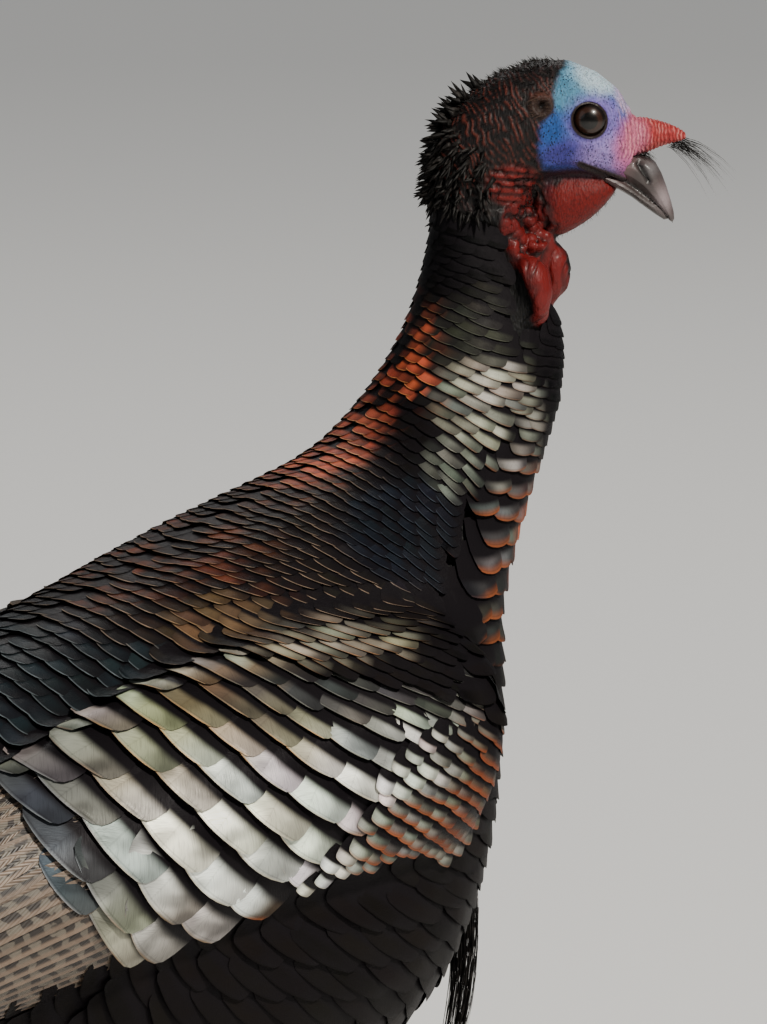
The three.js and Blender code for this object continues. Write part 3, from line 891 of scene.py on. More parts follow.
class Coat:
    """Grows the feathers of tracts and turns them into pieces."""

    def __init__(self, plan: Vanes) -> None:
        """Keeps the plan of a small feather."""
        self.plan = plan

    def walk(self, tract: Tract, starts: Array, lengths: Array, halves: Array, yaw: Array) -> dict:
        """Follows the lie over the surface from each start.

        Args:
            tract: the solved tract.
            starts: the roots on the surface.
            lengths: how far each feather runs.
            halves: half of each feather's width.
            yaw: how far each one turns from the lie, in radians.

        Returns:
            Arrays of feathers x rows: middle, normal, way and side, and how far each column drops.
        """
        surface, solved = tract.surface, tract.solved
        tree = surface.tree()
        ways = [Vector(v) for v in unit(solved["way"][surface.faces].mean(axis=1))]
        normals = [Vector(v) for v in unit(solved["normal"][surface.faces].mean(axis=1))]
        rows = len(ALONG)
        track = np.zeros((len(starts), rows, 12 + len(ACROSS)))
        steps = np.append(np.diff(ALONG), 0.0)
        for i in range(len(starts)):
            position = Vector(starts[i])
            heading = None
            for k in range(rows):
                place, _, index, _ = tree.find_nearest(position)
                normal, way = normals[index], ways[index]
                if heading is None:
                    heading = way + normal.cross(way) * float(yaw[i])
                else:
                    heading = heading * 0.6 + way * 0.4
                heading = (heading - normal * heading.dot(normal)).normalized()
                side = normal.cross(heading)
                reach = side * float(halves[i])
                drops = [
                    (tree.find_nearest(place + reach * sign)[0] - place).dot(normal) if sign else 0.0
                    for sign in ACROSS.tolist()
                ]
                track[i, k] = (*place, *normal, *heading, *side, *drops)
                position = place + heading * float(lengths[i] * steps[k])
        names = ("middle", "normal", "way", "side")
        parts = {name: track[..., 3 * j : 3 * j + 3] for j, name in enumerate(names)}
        parts["drops"] = track[..., 12:]
        return parts

    def grow(self, tract: Tract, raise_by: Callable[[Array], Array] | None = None) -> dict:
        """The feathers of a tract as grids of points.

        Args:
            tract: the tract, solved or not.
            raise_by: millimetres that feathers which show at given points are raised by.

        Returns:
            The upper and lower grids, the roots and the tips.
        """
        if not tract.solved:
            tract.solve()
        rng = np.random.default_rng(tract.seed)
        found = tract.roots()
        starts, vane = found["point"], tract.vane
        count = len(starts)
        vary = 1.0 + vane.scatter * rng.normal(size=(count, 2)).clip(-2, 2)
        lengths = found["size"][:, 0] * vane.overlap * vary[:, 0]
        halves = found["size"][:, 1] * vane.breadth * 0.5 * vary[:, 1]
        yaw = vane.scatter * rng.normal(size=count).clip(-2, 2)
        parts = self.walk(tract, starts, lengths, halves, yaw)
        t, c = ALONG[None, :, None], ACROSS[None, None, :]
        outline = 0.55 + 0.45 * smoothstep(t, 0.0, 0.5)
        tip_part = np.clip((t - 0.6) / 0.4, 0.0, 1.0) * 0.97
        outline = outline * (1.0 - tip_part**vane.roundness) ** (1.0 / vane.roundness)
        half = halves[:, None, None] * outline
        drop = parts["drops"] * outline**2
        reach = lengths[:, None, None]
        lift = vane.lift * reach * (1.0 + 0.3 * rng.normal(size=(count, 1, 1)).clip(-1.5, 2))
        height = lift * t**3 - vane.depth * reach * (1.0 - t)
        height = height + vane.camber * half * 2.0 * (1.0 - c * c)
        height = height + vane.roll * half * c
        if raise_by is not None:
            height = height + raise_by(parts["middle"][:, 4])[:, None, None]
        shift = -0.04 * lengths[:, None, None] * c * c * t
        frame = [parts[part] for part in ("middle", "side", "normal", "way")]
        over = laid_out(frame, half * c, height + drop, shift)
        under = over - parts["normal"][:, :, None] * vane.thickness
        tips = parts["middle"][:, -1]
        return {"over": over, "under": under, "start": starts, "tip": tips, "length": lengths}

    def piece(
        self, name: str, grown: dict, chosen: Array, read: Callable, roots: Array, seed: int
    ) -> Piece:
        """One piece of the chosen feathers, coloured by what read gives for where their ends lie."""
        rng = np.random.default_rng(seed)
        over, under = grown["over"][chosen], grown["under"][chosen]
        count = len(over)
        shown = over[:, 4, 1::2] + 2.5 * rng.normal(size=(count, 1, 3)).clip(-2, 2)
        places = CARRIAGE.straight(shown.reshape(-1, 3))
        sheen, tip = read(places)
        drift = np.column_stack([ripple(places, 26.0, 60 + i, 2) for i in range(3)])
        shade = np.repeat(np.exp(0.13 * rng.normal(size=(count, 1)).clip(-2, 2)), 3, axis=0)
        tint = np.exp(0.05 * drift + np.repeat(0.05 * rng.normal(size=(count, 3)).clip(-2, 2), 3, axis=0))
        sheen[:, :3] *= shade * tint
        tip[:, :3] *= shade
        share = np.interp(ACROSS, ACROSS[1::2], range(3))[None] - np.arange(3)[:, None]
        share = np.clip(1.0 - np.abs(share), 0.0, 1.0)
        sheen, tip = (np.einsum("kx,nkd->nxd", share, v.reshape(count, 3, 4)) for v in (sheen, tip))
        piece = feather_piece(name, self.plan, over, under, sheen, tip, roots[chosen])
        LOG.info("%s: %d feathers, %d triangles", name, len(over), 2 * len(piece.data.polygons))
        return piece


def body_unwrap(points: Array) -> Array:
    """Where places of the body lie on its unwrapped skin, 0 to 1 both ways."""
    length, angle = CARRIAGE.unwrapped(CARRIAGE.straight(points))
    return np.column_stack([0.03 + (length + 80.0) / 1070.0, 0.5 + 0.47 * angle / math.pi])


def wing_unwrap(points: Array) -> Array:
    """Where places of the wings lie on the unwrapped skin, beside the body's part."""
    across = 0.03 + 0.42 * (points[:, 2] - 340.0) / 230.0
    return np.column_stack([0.75 - points[:, 0] / 2000.0, across + 0.5 * (points[:, 1] > 0)])


# ---- the bird's form
FLESH = (
    "trunk", "neck", "head", "ear_left", "ear_right", "snood", "dewlap", "caruncle_left",
    "caruncle_right", "caruncle_beads", "thigh_left", "thigh_right", "shank_left", "shank_right",
    *(f"toe_{toe}_{side}" for side in SIDES for toe in TOES),
)  # fmt: skip
WINGS = ("wing_left", "wing_right")
THIGHS = ("thigh_left", "thigh_right")


class Form:
    """The bird's outline as one surface, which the feathers' ends lie on."""

    voxel = 4.5
    swell = 0.5
    reach = 60.0  # the farthest gap that is measured

    def __init__(self) -> None:
        """Fuses the solids and finds which part each vertex belongs to."""
        plumed = ("trunk", "neck", *THIGHS, "head", "tail_coverts_upper")
        arrays = swollen((*plumed, *WINGS), self.swell)
        self.surface = Surface(*fused(*arrays, self.voxel))
        self.surface.relax(14)
        points = self.surface.points
        parts = {"wing": WINGS, "body": ("trunk", "neck"), "thigh": THIGHS}
        self.gap = {
            part: distances(points, Surface(*swollen(nodes, 0.0)), self.reach)
            for part, nodes in parts.items()
        }
        LOG.info("form: %d vertices", len(points))


# ---- the feather tracts
BODY_LIES = (
    Lie((30, 0, 730), (-0.1, 0, -1), 4, 8),
    Lie((30, 0, 705), (-0.25, 0, -1), 4.5, 10),
    Lie((20, 0, 668), (-0.4, 0, -0.9), 5.5, 12),
    Lie((2, 0, 640), (-0.6, 0, -0.8), 6, 12),
    Lie((-30, 0, 612), (-0.9, 0, -0.4), 5.5, 10),
    Lie((-70, 0, 598), (-0.96, 0, -0.28), 5.5, 10),
    Lie((-165, 0, 563), (-0.97, 0, -0.25), 7, 12),
    Lie((-245, 0, 530), (-0.97, 0, -0.25), 10, 16),
    Lie((-330, 0, 495), (-0.93, 0, -0.37), 13, 21),
    Lie((-390, 0, 465), (-0.9, 0, -0.42), 14, 21),
    Lie((42, 25, 703), (-0.34, 0.04, -0.94), 4.5, 10),
    Lie((39, 31, 673), (-0.49, 0.14, -0.86), 5, 12),
    Lie((59, 36, 660), (-0.2, 0.2, -0.96), 5.5, 14),
    Lie((56, 40, 645), (-0.26, 0.25, -0.93), 6, 15),
    Lie((36, 42, 644), (-0.55, 0.2, -0.8), 6, 14),
    Lie((21, 26, 657), (-0.6, 0, -0.79), 6, 12),
    Lie((44, 46, 628), (-0.47, 0.27, -0.84), 6.5, 15),
    Lie((22, 50, 622), (-0.79, 0.26, -0.56), 6.5, 14),
    Lie((5, 46, 621), (-0.89, 0, -0.44), 6, 12),
    Lie((10, 63, 599), (-0.9, 0.3, -0.31), 6, 12),
    Lie((-13, 56, 602), (-0.92, 0.05, -0.4), 5.5, 10),
    Lie((-29, 36, 609), (-0.9, 0, -0.43), 5.5, 9.5),
    Lie((-40, 66, 585), (-0.83, 0.26, -0.49), 5.5, 9.5),
    Lie((-24, 76, 576), (-0.8, 0.26, -0.54), 5.5, 10),
    Lie((-67, 55, 586), (-0.86, 0.27, -0.42), 5.5, 9.5),
    Lie((-106, 43, 578), (-0.8, 0.36, -0.48), 6, 10),
    Lie((-118, 63, 564), (-0.72, 0.41, -0.56), 7, 12),
    Lie((-83, 77, 563), (-0.59, 0.51, -0.63), 6.5, 12),
    Lie((-45, 87, 555), (-0.24, 0.73, -0.64), 6.5, 12),
    Lie((-175, 35, 554), (-0.92, 0, -0.39), 8, 13),
    Lie((-138, 50, 563), (-0.88, 0.19, -0.43), 7, 12),
    Lie((-211, 38, 538), (-0.92, 0, -0.39), 9, 15),
    Lie((-198, 90, 500), (-0.85, 0.1, -0.5), 10, 17),
    Lie((-320, 60, 460), (-0.93, 0, -0.35), 13, 20),
)
FRONT_LIES = (
    Lie((88, 0, 690), (0.1, 0, -1), 4.5, 8),
    Lie((82, 27, 671), (-0.1, 0.2, -0.97), 4.5, 8.5),
    Lie((84, 0, 640), (-0.1, 0, -1), 5, 9),
    Lie((72, 36, 640), (-0.15, 0.15, -0.97), 5, 9),
    Lie((60, 0, 570), (-0.3, 0, -0.95), 9, 14),
    Lie((52, 44, 607), (-0.1, 0, -1), 10, 17),
    Lie((33, 58, 586), (0, 0.08, -0.99), 12, 19),
    Lie((10, 76, 560), (0.05, 0.15, -0.99), 12, 19),
    Lie((45, 50, 540), (0, 0.15, -0.98), 11, 17),
    Lie((30, 0, 450), (-0.2, 0, -0.98), 11, 15),
    Lie((-10, 94, 440), (-0.35, 0.05, -0.93), 10, 14),
    Lie((-5, 40, 360), (-0.7, 0, -0.7), 12, 17),
    Lie((-100, 0, 318), (-1, 0, -0.05), 14, 18),
    Lie((-250, 0, 340), (-1, 0, 0.2), 15, 20),
    Lie((-100, 108, 400), (-0.5, 0, -0.85), 11, 16),
    Lie((-230, 95, 400), (-0.85, 0, -0.5), 14, 20),
    Lie((-360, 0, 410), (-0.95, 0, 0.1), 14, 20),
)
WING_LIES = (
    Lie((-20, 122, 516), (-0.45, 0.2, -0.87), 5.5, 10),
    Lie((-40, 113, 535), (-0.45, 0.59, -0.67), 6.5, 15),
    Lie((-83, 113, 536), (-0.6, 0.49, -0.63), 8, 18),
    Lie((-125, 110, 534), (-0.85, 0.33, -0.42), 11, 20),
    Lie((-152, 118, 519), (-0.86, 0.18, -0.48), 15, 24),
    Lie((-118, 133, 500), (-0.65, 0.17, -0.74), 16, 25),
    Lie((-84, 131, 509), (-0.51, 0.22, -0.83), 12, 22),
    Lie((-37, 127, 513), (-0.52, 0.29, -0.81), 6, 12),
    Lie((-112, 134, 478), (-0.55, 0, -0.84), 17, 24),
    Lie((-198, 112, 509), (-0.9, 0, -0.43), 19, 27),
    Lie((-177, 133, 481), (-0.73, 0, -0.68), 20, 27),
    Lie((-144, 135, 458), (-0.58, -0.1, -0.8), 19, 26),
    Lie((-151, 129, 438), (-0.54, -0.2, -0.8), 19, 25),
    Lie((-110, 117, 431), (-0.52, -0.2, -0.8), 14, 20),
    Lie((-223, 128, 468), (-0.85, 0, -0.55), 20, 28),
    Lie((-300, 110, 440), (-0.9, 0, -0.45), 20, 28),
)
LESSER_LIES = (
    Lie((-65, 136, 485), (-0.5, 0, -0.86), 7, 8.5),
    Lie((-33, 131, 490), (-0.56, 0, -0.83), 6.5, 8),
    Lie((-85, 134, 468), (-0.5, -0.1, -0.85), 8.5, 12),
    Lie((-49, 127, 463), (-0.46, -0.1, -0.86), 8, 11),
    Lie((-60, 127, 440), (-0.46, -0.1, -0.86), 8.5, 12),
)
THIGH_LIES = (
    Lie((-112, 110, 380), (-0.15, 0, -1), 9, 14),
    Lie((-60, 90, 340), (-0.4, 0, -0.9), 9, 14),
    Lie((-165, 60, 215), (-0.2, 0, -1), 6, 8),
)

DARK = Patch((0, 0, 0), (1, 1, 1), "110e0d", "0b0908", 0.3, 0.4)
# the body's iridescent colours; its silver patches are partly painted highlights, and the black of the
# neck's front is partly painted shade
BODY_MARKINGS_SHEEN_AND_SHADE = Markings(
    DARK,
    (
        Patch((-230, 30, 520), (90, 90, 55), "1b2226", "5d6568", 0.2, 0.7),
        Patch((-95, 30, 580), (110, 78, 50), "1a1615", "8a7664", 0.2, 0.45),
        Patch((-125, 20, 572), (44, 60, 24), "5c3222", "8c6448", 0.25, 0.5, 0.7, True),
        Patch((-50, 0, 604), (40, 34, 16), "6a3a24", "b08a6a", 0.25, 0.5, 0.7, True),
        Patch((-15, 66, 585), (42, 32, 34), "14181f", "363d46", 0.2, 0.6),
        # last scapular row: partly its own pale iridescence, partly a painted highlight of its glint
        Patch((-88, 97, 545), (40, 20, 9), "8c8878", "8a6444", 0.4, 0.6, 0.8),
        Patch((-132, 66, 555), (26, 26, 12), "584634", "8c7050", 0.3, 0.6, 1.0),
        Patch((22, 54, 610), (19, 26, 19), "70746c", "6a6a60", 0.2, 0.5, 0.6),
        # front scallops: dark feathers with copper tips of their own, whose silver middles are painted
        # highlights
        Patch((50, 42, 600), (26, 22, 30), "6a6c6a", "6e3c22", 0.8, 0.15, 0.6),
        Patch((28, 60, 578), (22, 20, 24), "565858", "7a4226", 0.85, 0.15, 0.6),
        Patch((12, 76, 550), (16, 16, 26), "3a3938", "7a4226", 0.85, 0.15, 0.6),
        Patch((50, 24, 574), (26, 18, 46), "9c4e30", "b05a34", 0.6, 0.5, 0.8),
        # side of the neck: partly the feathers' own pale iridescence, partly a painted highlight of their
        # gleam
        Patch((48, 40, 634), (27, 24, 26), "96988a", "6e5442", 0.45, 0.6, 0.8),
        Patch((45, 28, 670), (26, 24, 18), "2a2b25", "44463c", 0.2, 0.5, 0.8),
        Patch((-22, 6, 616), (44, 22, 20), "a85038", "e0a070", 0.25, 0.6, 0.8),
        Patch((14, 14, 656), (28, 26, 30), "b8543a", "d88a50", 0.25, 0.6, 0.6, True),
        # front of the neck: the feathers' own black and painted shade together
        Patch((94, 0, 655), (22, 44, 52), "050506", "020202", 0.3, 0.2),
        Patch((50, 0, 725), (54, 60, 35), "050505", "020202", 0.3, 0.2),
    ),
)
# the coverts' bronze, copper and grey are their own iridescent colours; the silver ground and the
# near-white patch are partly painted highlights of their gleam
WING_MARKINGS_AND_SHEEN = Markings(
    Patch((0, 0, 0), (1, 1, 1), "b0b0a2", "6e5c48", 0.25, 0.75),
    (
        Patch((-165, 118, 512), (60, 34, 30), "96947a", "a88458", 0.3, 0.75),
        Patch((-140, 112, 532), (52, 30, 12), "80664a", "b08a5e", 0.3, 0.6, 0.8),
        # near-white: a painted highlight where the light gleams off the middle coverts, over their own pale
        # colour
        Patch((-140, 130, 466), (100, 36, 38), "f6f8f2", "b0aa98", 0.2, 0.9),
        Patch((-66, 130, 500), (44, 30, 13), "b4b6ae", "7a7a6e", 0.25, 0.7),
        Patch((-262, 118, 486), (40, 50, 66), "3a4046", "6a6e72", 0.2, 0.7, 1.2),
        Patch((-70, 116, 530), (96, 34, 16), "3a3b3a", "5c5c56", 0.2, 0.6, 0.8),
        Patch((-28, 126, 512), (22, 26, 8), "6c706a", "5c5c56", 0.2, 0.6, 0.8),
        Patch((-32, 130, 494), (22, 24, 14), "84867a", "645f4e", 0.3, 0.5, 0.8),
        Patch((-64, 130, 455), (38, 30, 28), "74766c", "7c4428", 0.9, 0.4, 0.8),
        Patch((-20, 124, 468), (28, 34, 42), "4c3e34", "743c24", 1.0, 0.5, 0.8),
        Patch((-95, 120, 426), (60, 34, 8), "6a5440", "8a4c2a", 0.6, 0.5),
    ),
)


@dataclass(frozen=True)
class Fold:
    """The line where the feathers of the cape end over the breast, and which the wings then hide."""

    line: tuple[tuple[float, float], ...] = (
        (-420, 425), (-330, 430), (-250, 450), (-100, 480), (-45, 510), (-19, 545), (-15, 560),
        (-6, 574), (5, 584), (15, 593), (29, 605), (46, 617), (60, 628), (72, 655), (79, 680),
        (80, 720), (80, 760),
    )  # fmt: skip

    def beyond(self, places: Array) -> Array:
        """How far straight places lie in front of the line or under it, in millimetres."""
        corners = np.array(self.line, float)
        stops = np.linspace(0, len(corners) - 1, 12 * (len(corners) - 1) + 1)
        line = np.column_stack([np.interp(stops, range(len(corners)), corners[:, i]) for i in (0, 1)])
        ahead = unit(np.gradient(line, axis=0))
        out = places[:, None, ::2] - line[None]
        index = (out**2).sum(axis=2).argmin(axis=1)
        out, ahead = out[np.arange(len(index)), index], ahead[index]
        return out[:, 0] * ahead[:, 1] - out[:, 1] * ahead[:, 0]


def bare_edge(x: Array) -> Array:
    """How high the feathers of the neck reach at places of the straight bird."""
    return 735.0 - 0.25 * (x - 30.0) - 30.0 * smoothstep(x, 62.0, 80.0)


def hanging(straight: Array) -> Array:
    """1 on the bare red skin that hangs in front of the neck, and 0 round it."""
    forms = (
        ((80, -21.5, 689.5), (12.5, 12, 20)),
        ((90, 3, 697), (16, 13, 22)),
        ((83, -6, 708), (15, 17, 17)),
    )
    return smoothstep(np.minimum.reduce([far_from(straight, *form) for form in forms]), 1.0, 0.84)


class Plumage:
    """The contour feathers of the neck, trunk, wings and thighs."""

    def __init__(self, form: Form) -> None:
        """Keeps the outline and prepares the feather's plan."""
        self.form = form
        self.fold = Fold()
        self.coat = Coat(Vanes())
        self.wide = Vane(2.2, 1.75, depth=0.135, lift=0.015, roundness=4.0, roll=0.045, scatter=0.02)
        self.short = replace(self.wide, breadth=1.5, roundness=6.0, depth=0.11, camber=0.008)

    def build(self) -> list[Piece]:
        """Grows every tract and returns its pieces."""
        return [*self.body(), *self.wings(), *self.thighs()]

    def body(self) -> list[Piece]:
        """The neck, the mantle and the back, and then the breast and the belly under them."""
        surface, gap = self.form.surface, self.form.gap
        points = surface.points
        straight = CARRIAGE.straight(points)
        scapular = smoothstep(gap["wing"], 0.5, 3.0)
        over_wing = smoothstep(points[:, 2] + 0.3 * points[:, 0], 505.0, 520.0)
        over_wing = over_wing * smoothstep(gap["body"], 26.0, 16.0)
        under_wing = smoothstep(points[:, 2], 470.0, 455.0) * smoothstep(gap["body"], 14.0, 9.0)
        inside = np.maximum.reduce([scapular, over_wing, under_wing])
        inside = inside * smoothstep(gap["thigh"], 1.0, 4.0) * smoothstep(points[:, 0], -408.0, -395.0)
        red = Surface(*swollen(("caruncle_left", "caruncle_right", "caruncle_beads", "dewlap"), 0.0))
        clear = distances(points, red, 30.0) > 1.5
        inside = (inside * (straight[:, 2] < bare_edge(straight[:, 0])) > 0.5) & clear
        beyond = self.fold.beyond(straight)
        wing_tree = Surface(*swollen(WINGS, 0.0))

        def raised(shown: Array) -> Array:
            """How far feathers that show at places stand off the outline, in millimetres."""
            near = smoothstep(distances(shown, wing_tree, 30.0), 12.0, 2.0)
            near = near * np.where(shown[:, 2] > 470.0, 2.2, -2.0)
            crease = bell(self.fold.beyond(CARRIAGE.straight(shown)) - 1.0, 5.0)
            beside = smoothstep(distances(shown, red, 30.0), 7.0, 1.0)
            return near - 2.2 * crease * (shown[:, 2] < 632.0) - 2.0 * beside

        pieces = []
        for name, mask, lies in (
            ("back", inside & (beyond < 1.5), BODY_LIES),
            ("front", inside & (beyond > -4.0), FRONT_LIES),
        ):
            tract = Tract(surface, np.where(mask, 1.0, 0.1), lies, Vane(), 11, name == "back")
            grown = self.coat.grow(tract, raised)
            length, _ = CARRIAGE.unwrapped(CARRIAGE.straight(grown["start"]))
            if name == "back":
                groups = {"neck": 190.0, "cape": 270.0, "mantle": 400.0, "back": 1e4}
            else:
                groups = {"breast": 330.0, "belly": 1e4}
            taken = np.zeros(len(length), bool)
            for group, limit in groups.items():
                chosen = (length < limit) & ~taken
                taken |= chosen
                roots = body_unwrap(grown["start"])
                label = f"feathers_{group}"
                pieces.append(self.coat.piece(label, grown, chosen, self.with_fold_shade, roots, 20 + len(pieces)))
        return pieces

    def with_fold_shade(self, places: Array) -> tuple[Array, Array]:
        """The body's markings, with painted shade darkening them along the fold."""
        sheen, tip = BODY_MARKINGS_SHEEN_AND_SHADE.read(places)
        # painted shade: the colours are darkened in the fold where the cape's feathers meet the breast
        crease = bell(self.fold.beyond(places) - 1.5, 4.5) * (places[:, 2] < 628.0)
        for colours in (sheen, tip):
            darken(colours, 0.93 * crease)
        return sheen, tip

    def wings(self) -> list[Piece]:
        """The large coverts of both wings, and the small ones of the wrist over them."""
        surface, gap = self.form.surface, self.form.gap
        x, _, z = surface.points.T
        rear = -240.0 + 0.6 * np.maximum(0.0, 480.0 - z)
        inside = (gap["wing"] < 6.5) & (x > rear) & (surface.normals()[:, 2] > -0.6)
        small = (x + 73.8 - 0.784 * (z - 499.4) > 0.0) & (z < 508.0) & (z > 436.0)
        wing = Surface(*swollen(WINGS, 0.0))
        pieces = []
        for kind, mask, lies, rise in (
            ("coverts", inside & ~small, WING_LIES, 0.0),
            ("lesser", inside & surface.spread(small.astype(float), 1).astype(bool), LESSER_LIES, 1.4),
        ):
            vane = self.wide if kind == "coverts" else self.short
            tract = Tract(surface, mask.astype(float), lies, vane, 12, ridge=False)
            grown = self.coat.grow(tract, lambda shown: np.full(len(shown), rise))
            on_wing = distances(grown["tip"], wing, 40.0) < 2.5 + 0.17 * grown["length"]
            roots = wing_unwrap(grown["start"])
            for label, side in SIDES.items():
                chosen = on_wing & (grown["start"][:, 1] * side > 0)
                name, seed = f"{kind}_{label}", 30 + len(pieces)
                pieces.append(self.coat.piece(name, grown, chosen, WING_MARKINGS_AND_SHEEN.read, roots, seed))
        return pieces

    def thighs(self) -> list[Piece]:
        """The short dark feathers of both thighs."""
        surface, gap = self.form.surface, self.form.gap
        points = surface.points
        beside = np.abs(points[:, 1])
        inside = (smoothstep(gap["thigh"], 6.0, 3.0) > 0.5) & (points[:, 2] > 200.0)
        x_line, y_line = (np.polyfit(points[inside, 2], v[inside], 1) for v in (points[:, 0], beside))
        middle = np.polyval(x_line, points[:, 2])
        seam = (np.abs(points[:, 0] - middle) < 5.0) & (beside < np.polyval(y_line, points[:, 2]))
        inside = np.where(inside & ~seam, 1.0, 0.0)
        tract = Tract(surface, inside, THIGH_LIES, Vane(), 13, ridge=False)
        grown = self.coat.grow(tract)
        roots = body_unwrap(grown["start"])
        every = np.ones(len(roots), bool)
        return [self.coat.piece("feathers_thighs", grown, every, Markings(DARK).read, roots, 40)]


class FeatherFinish:
    """The glossy vane, black at its root and bright at its end, with a fine line and an edge, and with
    painted shade and sheen on it.
    """

    black = (0.006, 0.005, 0.006, 1.0)

    def build(self) -> Material:
        """Makes the material that all small feathers share."""
        finish = Finish("feather")
        across, along = finish.vane()
        sheen = finish.attribute("Sheen")
        gloss = finish.attribute("Sheen", "Alpha")
        tip = finish.attribute("Tip")
        depth = finish.attribute("Tip", "Alpha")
        off = (across * 2.0 - 1.0).math("ABSOLUTE")
        end = along + off * off * 0.035
        barb = finish.node("CombineXYZ", {}, {0: (along * 2.06 - off) * 46.0, 1: off * 3.0})
        streak = finish.noise(barb.vector("ADD", finish.place(40.0)), 1.0, 4.0)
        # the black root is the vane's own dark base and also painted shade under the row above; glossier
        # vanes get a longer bright end
        start = end + gloss * 0.13
        colour = sheen.mix(self.black, 1.0 - start.rise(0.69, 0.85))
        # painted shade and highlight: each vane is darkened towards its sides and left brightest a little
        # off its middle, standing in for its sheen
        painted_side_shade = (across - 0.4).math("ABSOLUTE").rise(0.08, 0.56)
        colour = colour.mix(self.black, painted_side_shade * 0.72 * (1.0 - gloss * 0.25))
        # painted sheen: broad soft patches of the plumage are darkened, and the brighter patches left
        # between them stand for glints
        painted_sheen_patches = finish.noise(finish.place(1.0, (1.0, 1.0, 1.6)), 42.0, 1.0)
        colour = colour.mix(self.black, painted_sheen_patches.rise(0.42, 0.66) * 0.55)
        band = (end - 0.965 + depth * depth * 0.2) / (depth * 0.22 + 0.02)
        colour = colour.mix(tip, band.rise(0.0, 1.0))
        colour = colour.mix(self.black, streak.rise(0.45, 0.72) * 0.3)
        line = end.rise(0.935, 0.95) * (1.0 - end.rise(0.955, 0.97))
        colour = colour.mix(self.black, line * 0.25 + (1.0 - off.rise(0.01, 0.03)) * 0.12)
        bump = finish.bump(streak, 0.00018, 0.8)
        roughness = 0.52 - gloss * 0.24 + streak * 0.12
        return finish.close(
            colour, roughness, Metallic=gloss * 0.2, Normal=bump, IOR=1.22, Specular_IOR_Level=0.16
        )


# ---- bare skin
@dataclass(frozen=True)
class Tint:
    """A soft-edged colour on the skin of the straight bird."""

    centre: Triple
    reach: Triple
    colour: str
    specks: float = 0.0  # how many dark pores it has
    softness: float = 0.5

    def share(self, places: Array) -> Array:
        """How far each mirrored place takes this colour, from 0 to 1."""
        far = far_from(places, self.centre, self.reach)
        wave = 0.09 * ripple(places, 9.0, 7, 2)
        return smoothstep(far + wave, 1.0 + self.softness / 2, 1.0 - self.softness / 2)


SKIN_TINTS = (
    Tint((106, 18, 772), (27, 22, 31), "2a4a90", 1.0, 0.3),
    Tint((93, 20, 772), (9, 14, 16), "1c4684", 0.9, 0.6),
    Tint((97, 14, 786), (13, 18, 11), "3a6f8c", 0.8, 0.7),
    Tint((101, 20, 755), (17, 12, 8), "38367e", 1.0, 0.7),
    Tint((111, 17, 771), (15, 12, 13), "6a5ca0", 0.8, 0.8),
    Tint((97, 0, 798), (18, 18, 10), "4f86a4", 0.7, 0.7),
    Tint((113, 0, 792), (15, 20, 11), "a6bac6", 0.6, 0.8),
    Tint((125, 0, 781), (7, 14, 10), "a496b8", 0.5, 0.8),
    Tint((116, 13, 754), (14, 12, 10), "8a74b2", 1.0, 0.9),
    Tint((125, 8, 757), (8, 12, 12), "aa5a86", 0.7, 0.9),
    Tint((143, 0, 763), (20, 14, 14), "962c2c", 0.1, 0.4),
    Tint((128, 5, 762), (7, 10, 11), "b4607a", 0.2, 1.0),
    Tint((101, 0, 729), (24, 16, 16), "5e0c07", 0.25, 0.1),
    Tint((84, 0, 734), (7, 14, 18), "281820", 0.3, 0.9),
    Tint((100, 0, 745), (22, 16, 4), "301820", 0.4, 0.9),
    Tint((78, 14, 744), (7, 14, 13), "0a0607", 0.2, 0.8),
    Tint((74, 12, 722), (17, 17, 21), "540806", 0.1, 0.4),
    Tint((80, 14, 691), (22, 24, 26), "5e0a07", 0.05, 0.15),
)
BACK_COLOURS = ("0b0707", "552319", "10191c")
GAPE = ((103.0, 750.0), (124.0, 739.5))  # the corner of the mouth and where the horn begins
LEG_COLOURS = ("8f5f57", "4f3835")
# near-black painted shade for the skin that shows between the feathers
PLUME_SHADE = "060505"


@dataclass(frozen=True)
class FaceSizes:
    """Where the eye and the ear lie on the straight head, and how wide they open."""

    eye: Triple = (107.0, 15.4, 771.6)
    eye_opening: float = 7.3
    ball: float = 8.5
    flatness: float = 0.78
    ear: Triple = (84.5, 20.5, 779.0)
    ear_opening: float = 3.0


FACE = FaceSizes()


def around(places: Array, centre: Triple, slant: float = 0.0) -> Array:
    """How far places are from a line across the head through a centre, with a slant along x."""
    x, z = places[:, 0] - centre[0], places[:, 2] - centre[2]
    return np.hypot(x, z + slant * x)


def beads(places: Array, spacing: float, seed: int) -> Array:
    """Round bumps on a scattered lattice, 0 between them and 1 at their tops."""
    low, high = places.min(axis=0) - spacing, places.max(axis=0) + spacing
    rng = np.random.default_rng(seed)
    axes = [np.arange(a, b, spacing) for a, b in zip(low, high)]
    centres = np.stack(np.meshgrid(*axes, indexing="ij"), axis=-1).reshape(-1, 3)
    centres = centres + rng.uniform(-0.4, 0.4, centres.shape) * spacing
    tree = KDTree(len(centres))
    for i, centre in enumerate(centres.tolist()):
        tree.insert(centre, i)
    tree.balance()
    far = np.array([tree.find(place)[2] for place in places.tolist()]) / spacing
    return np.sqrt(np.clip(1.0 - (far / 0.72) ** 2, 0.0, 1.0))


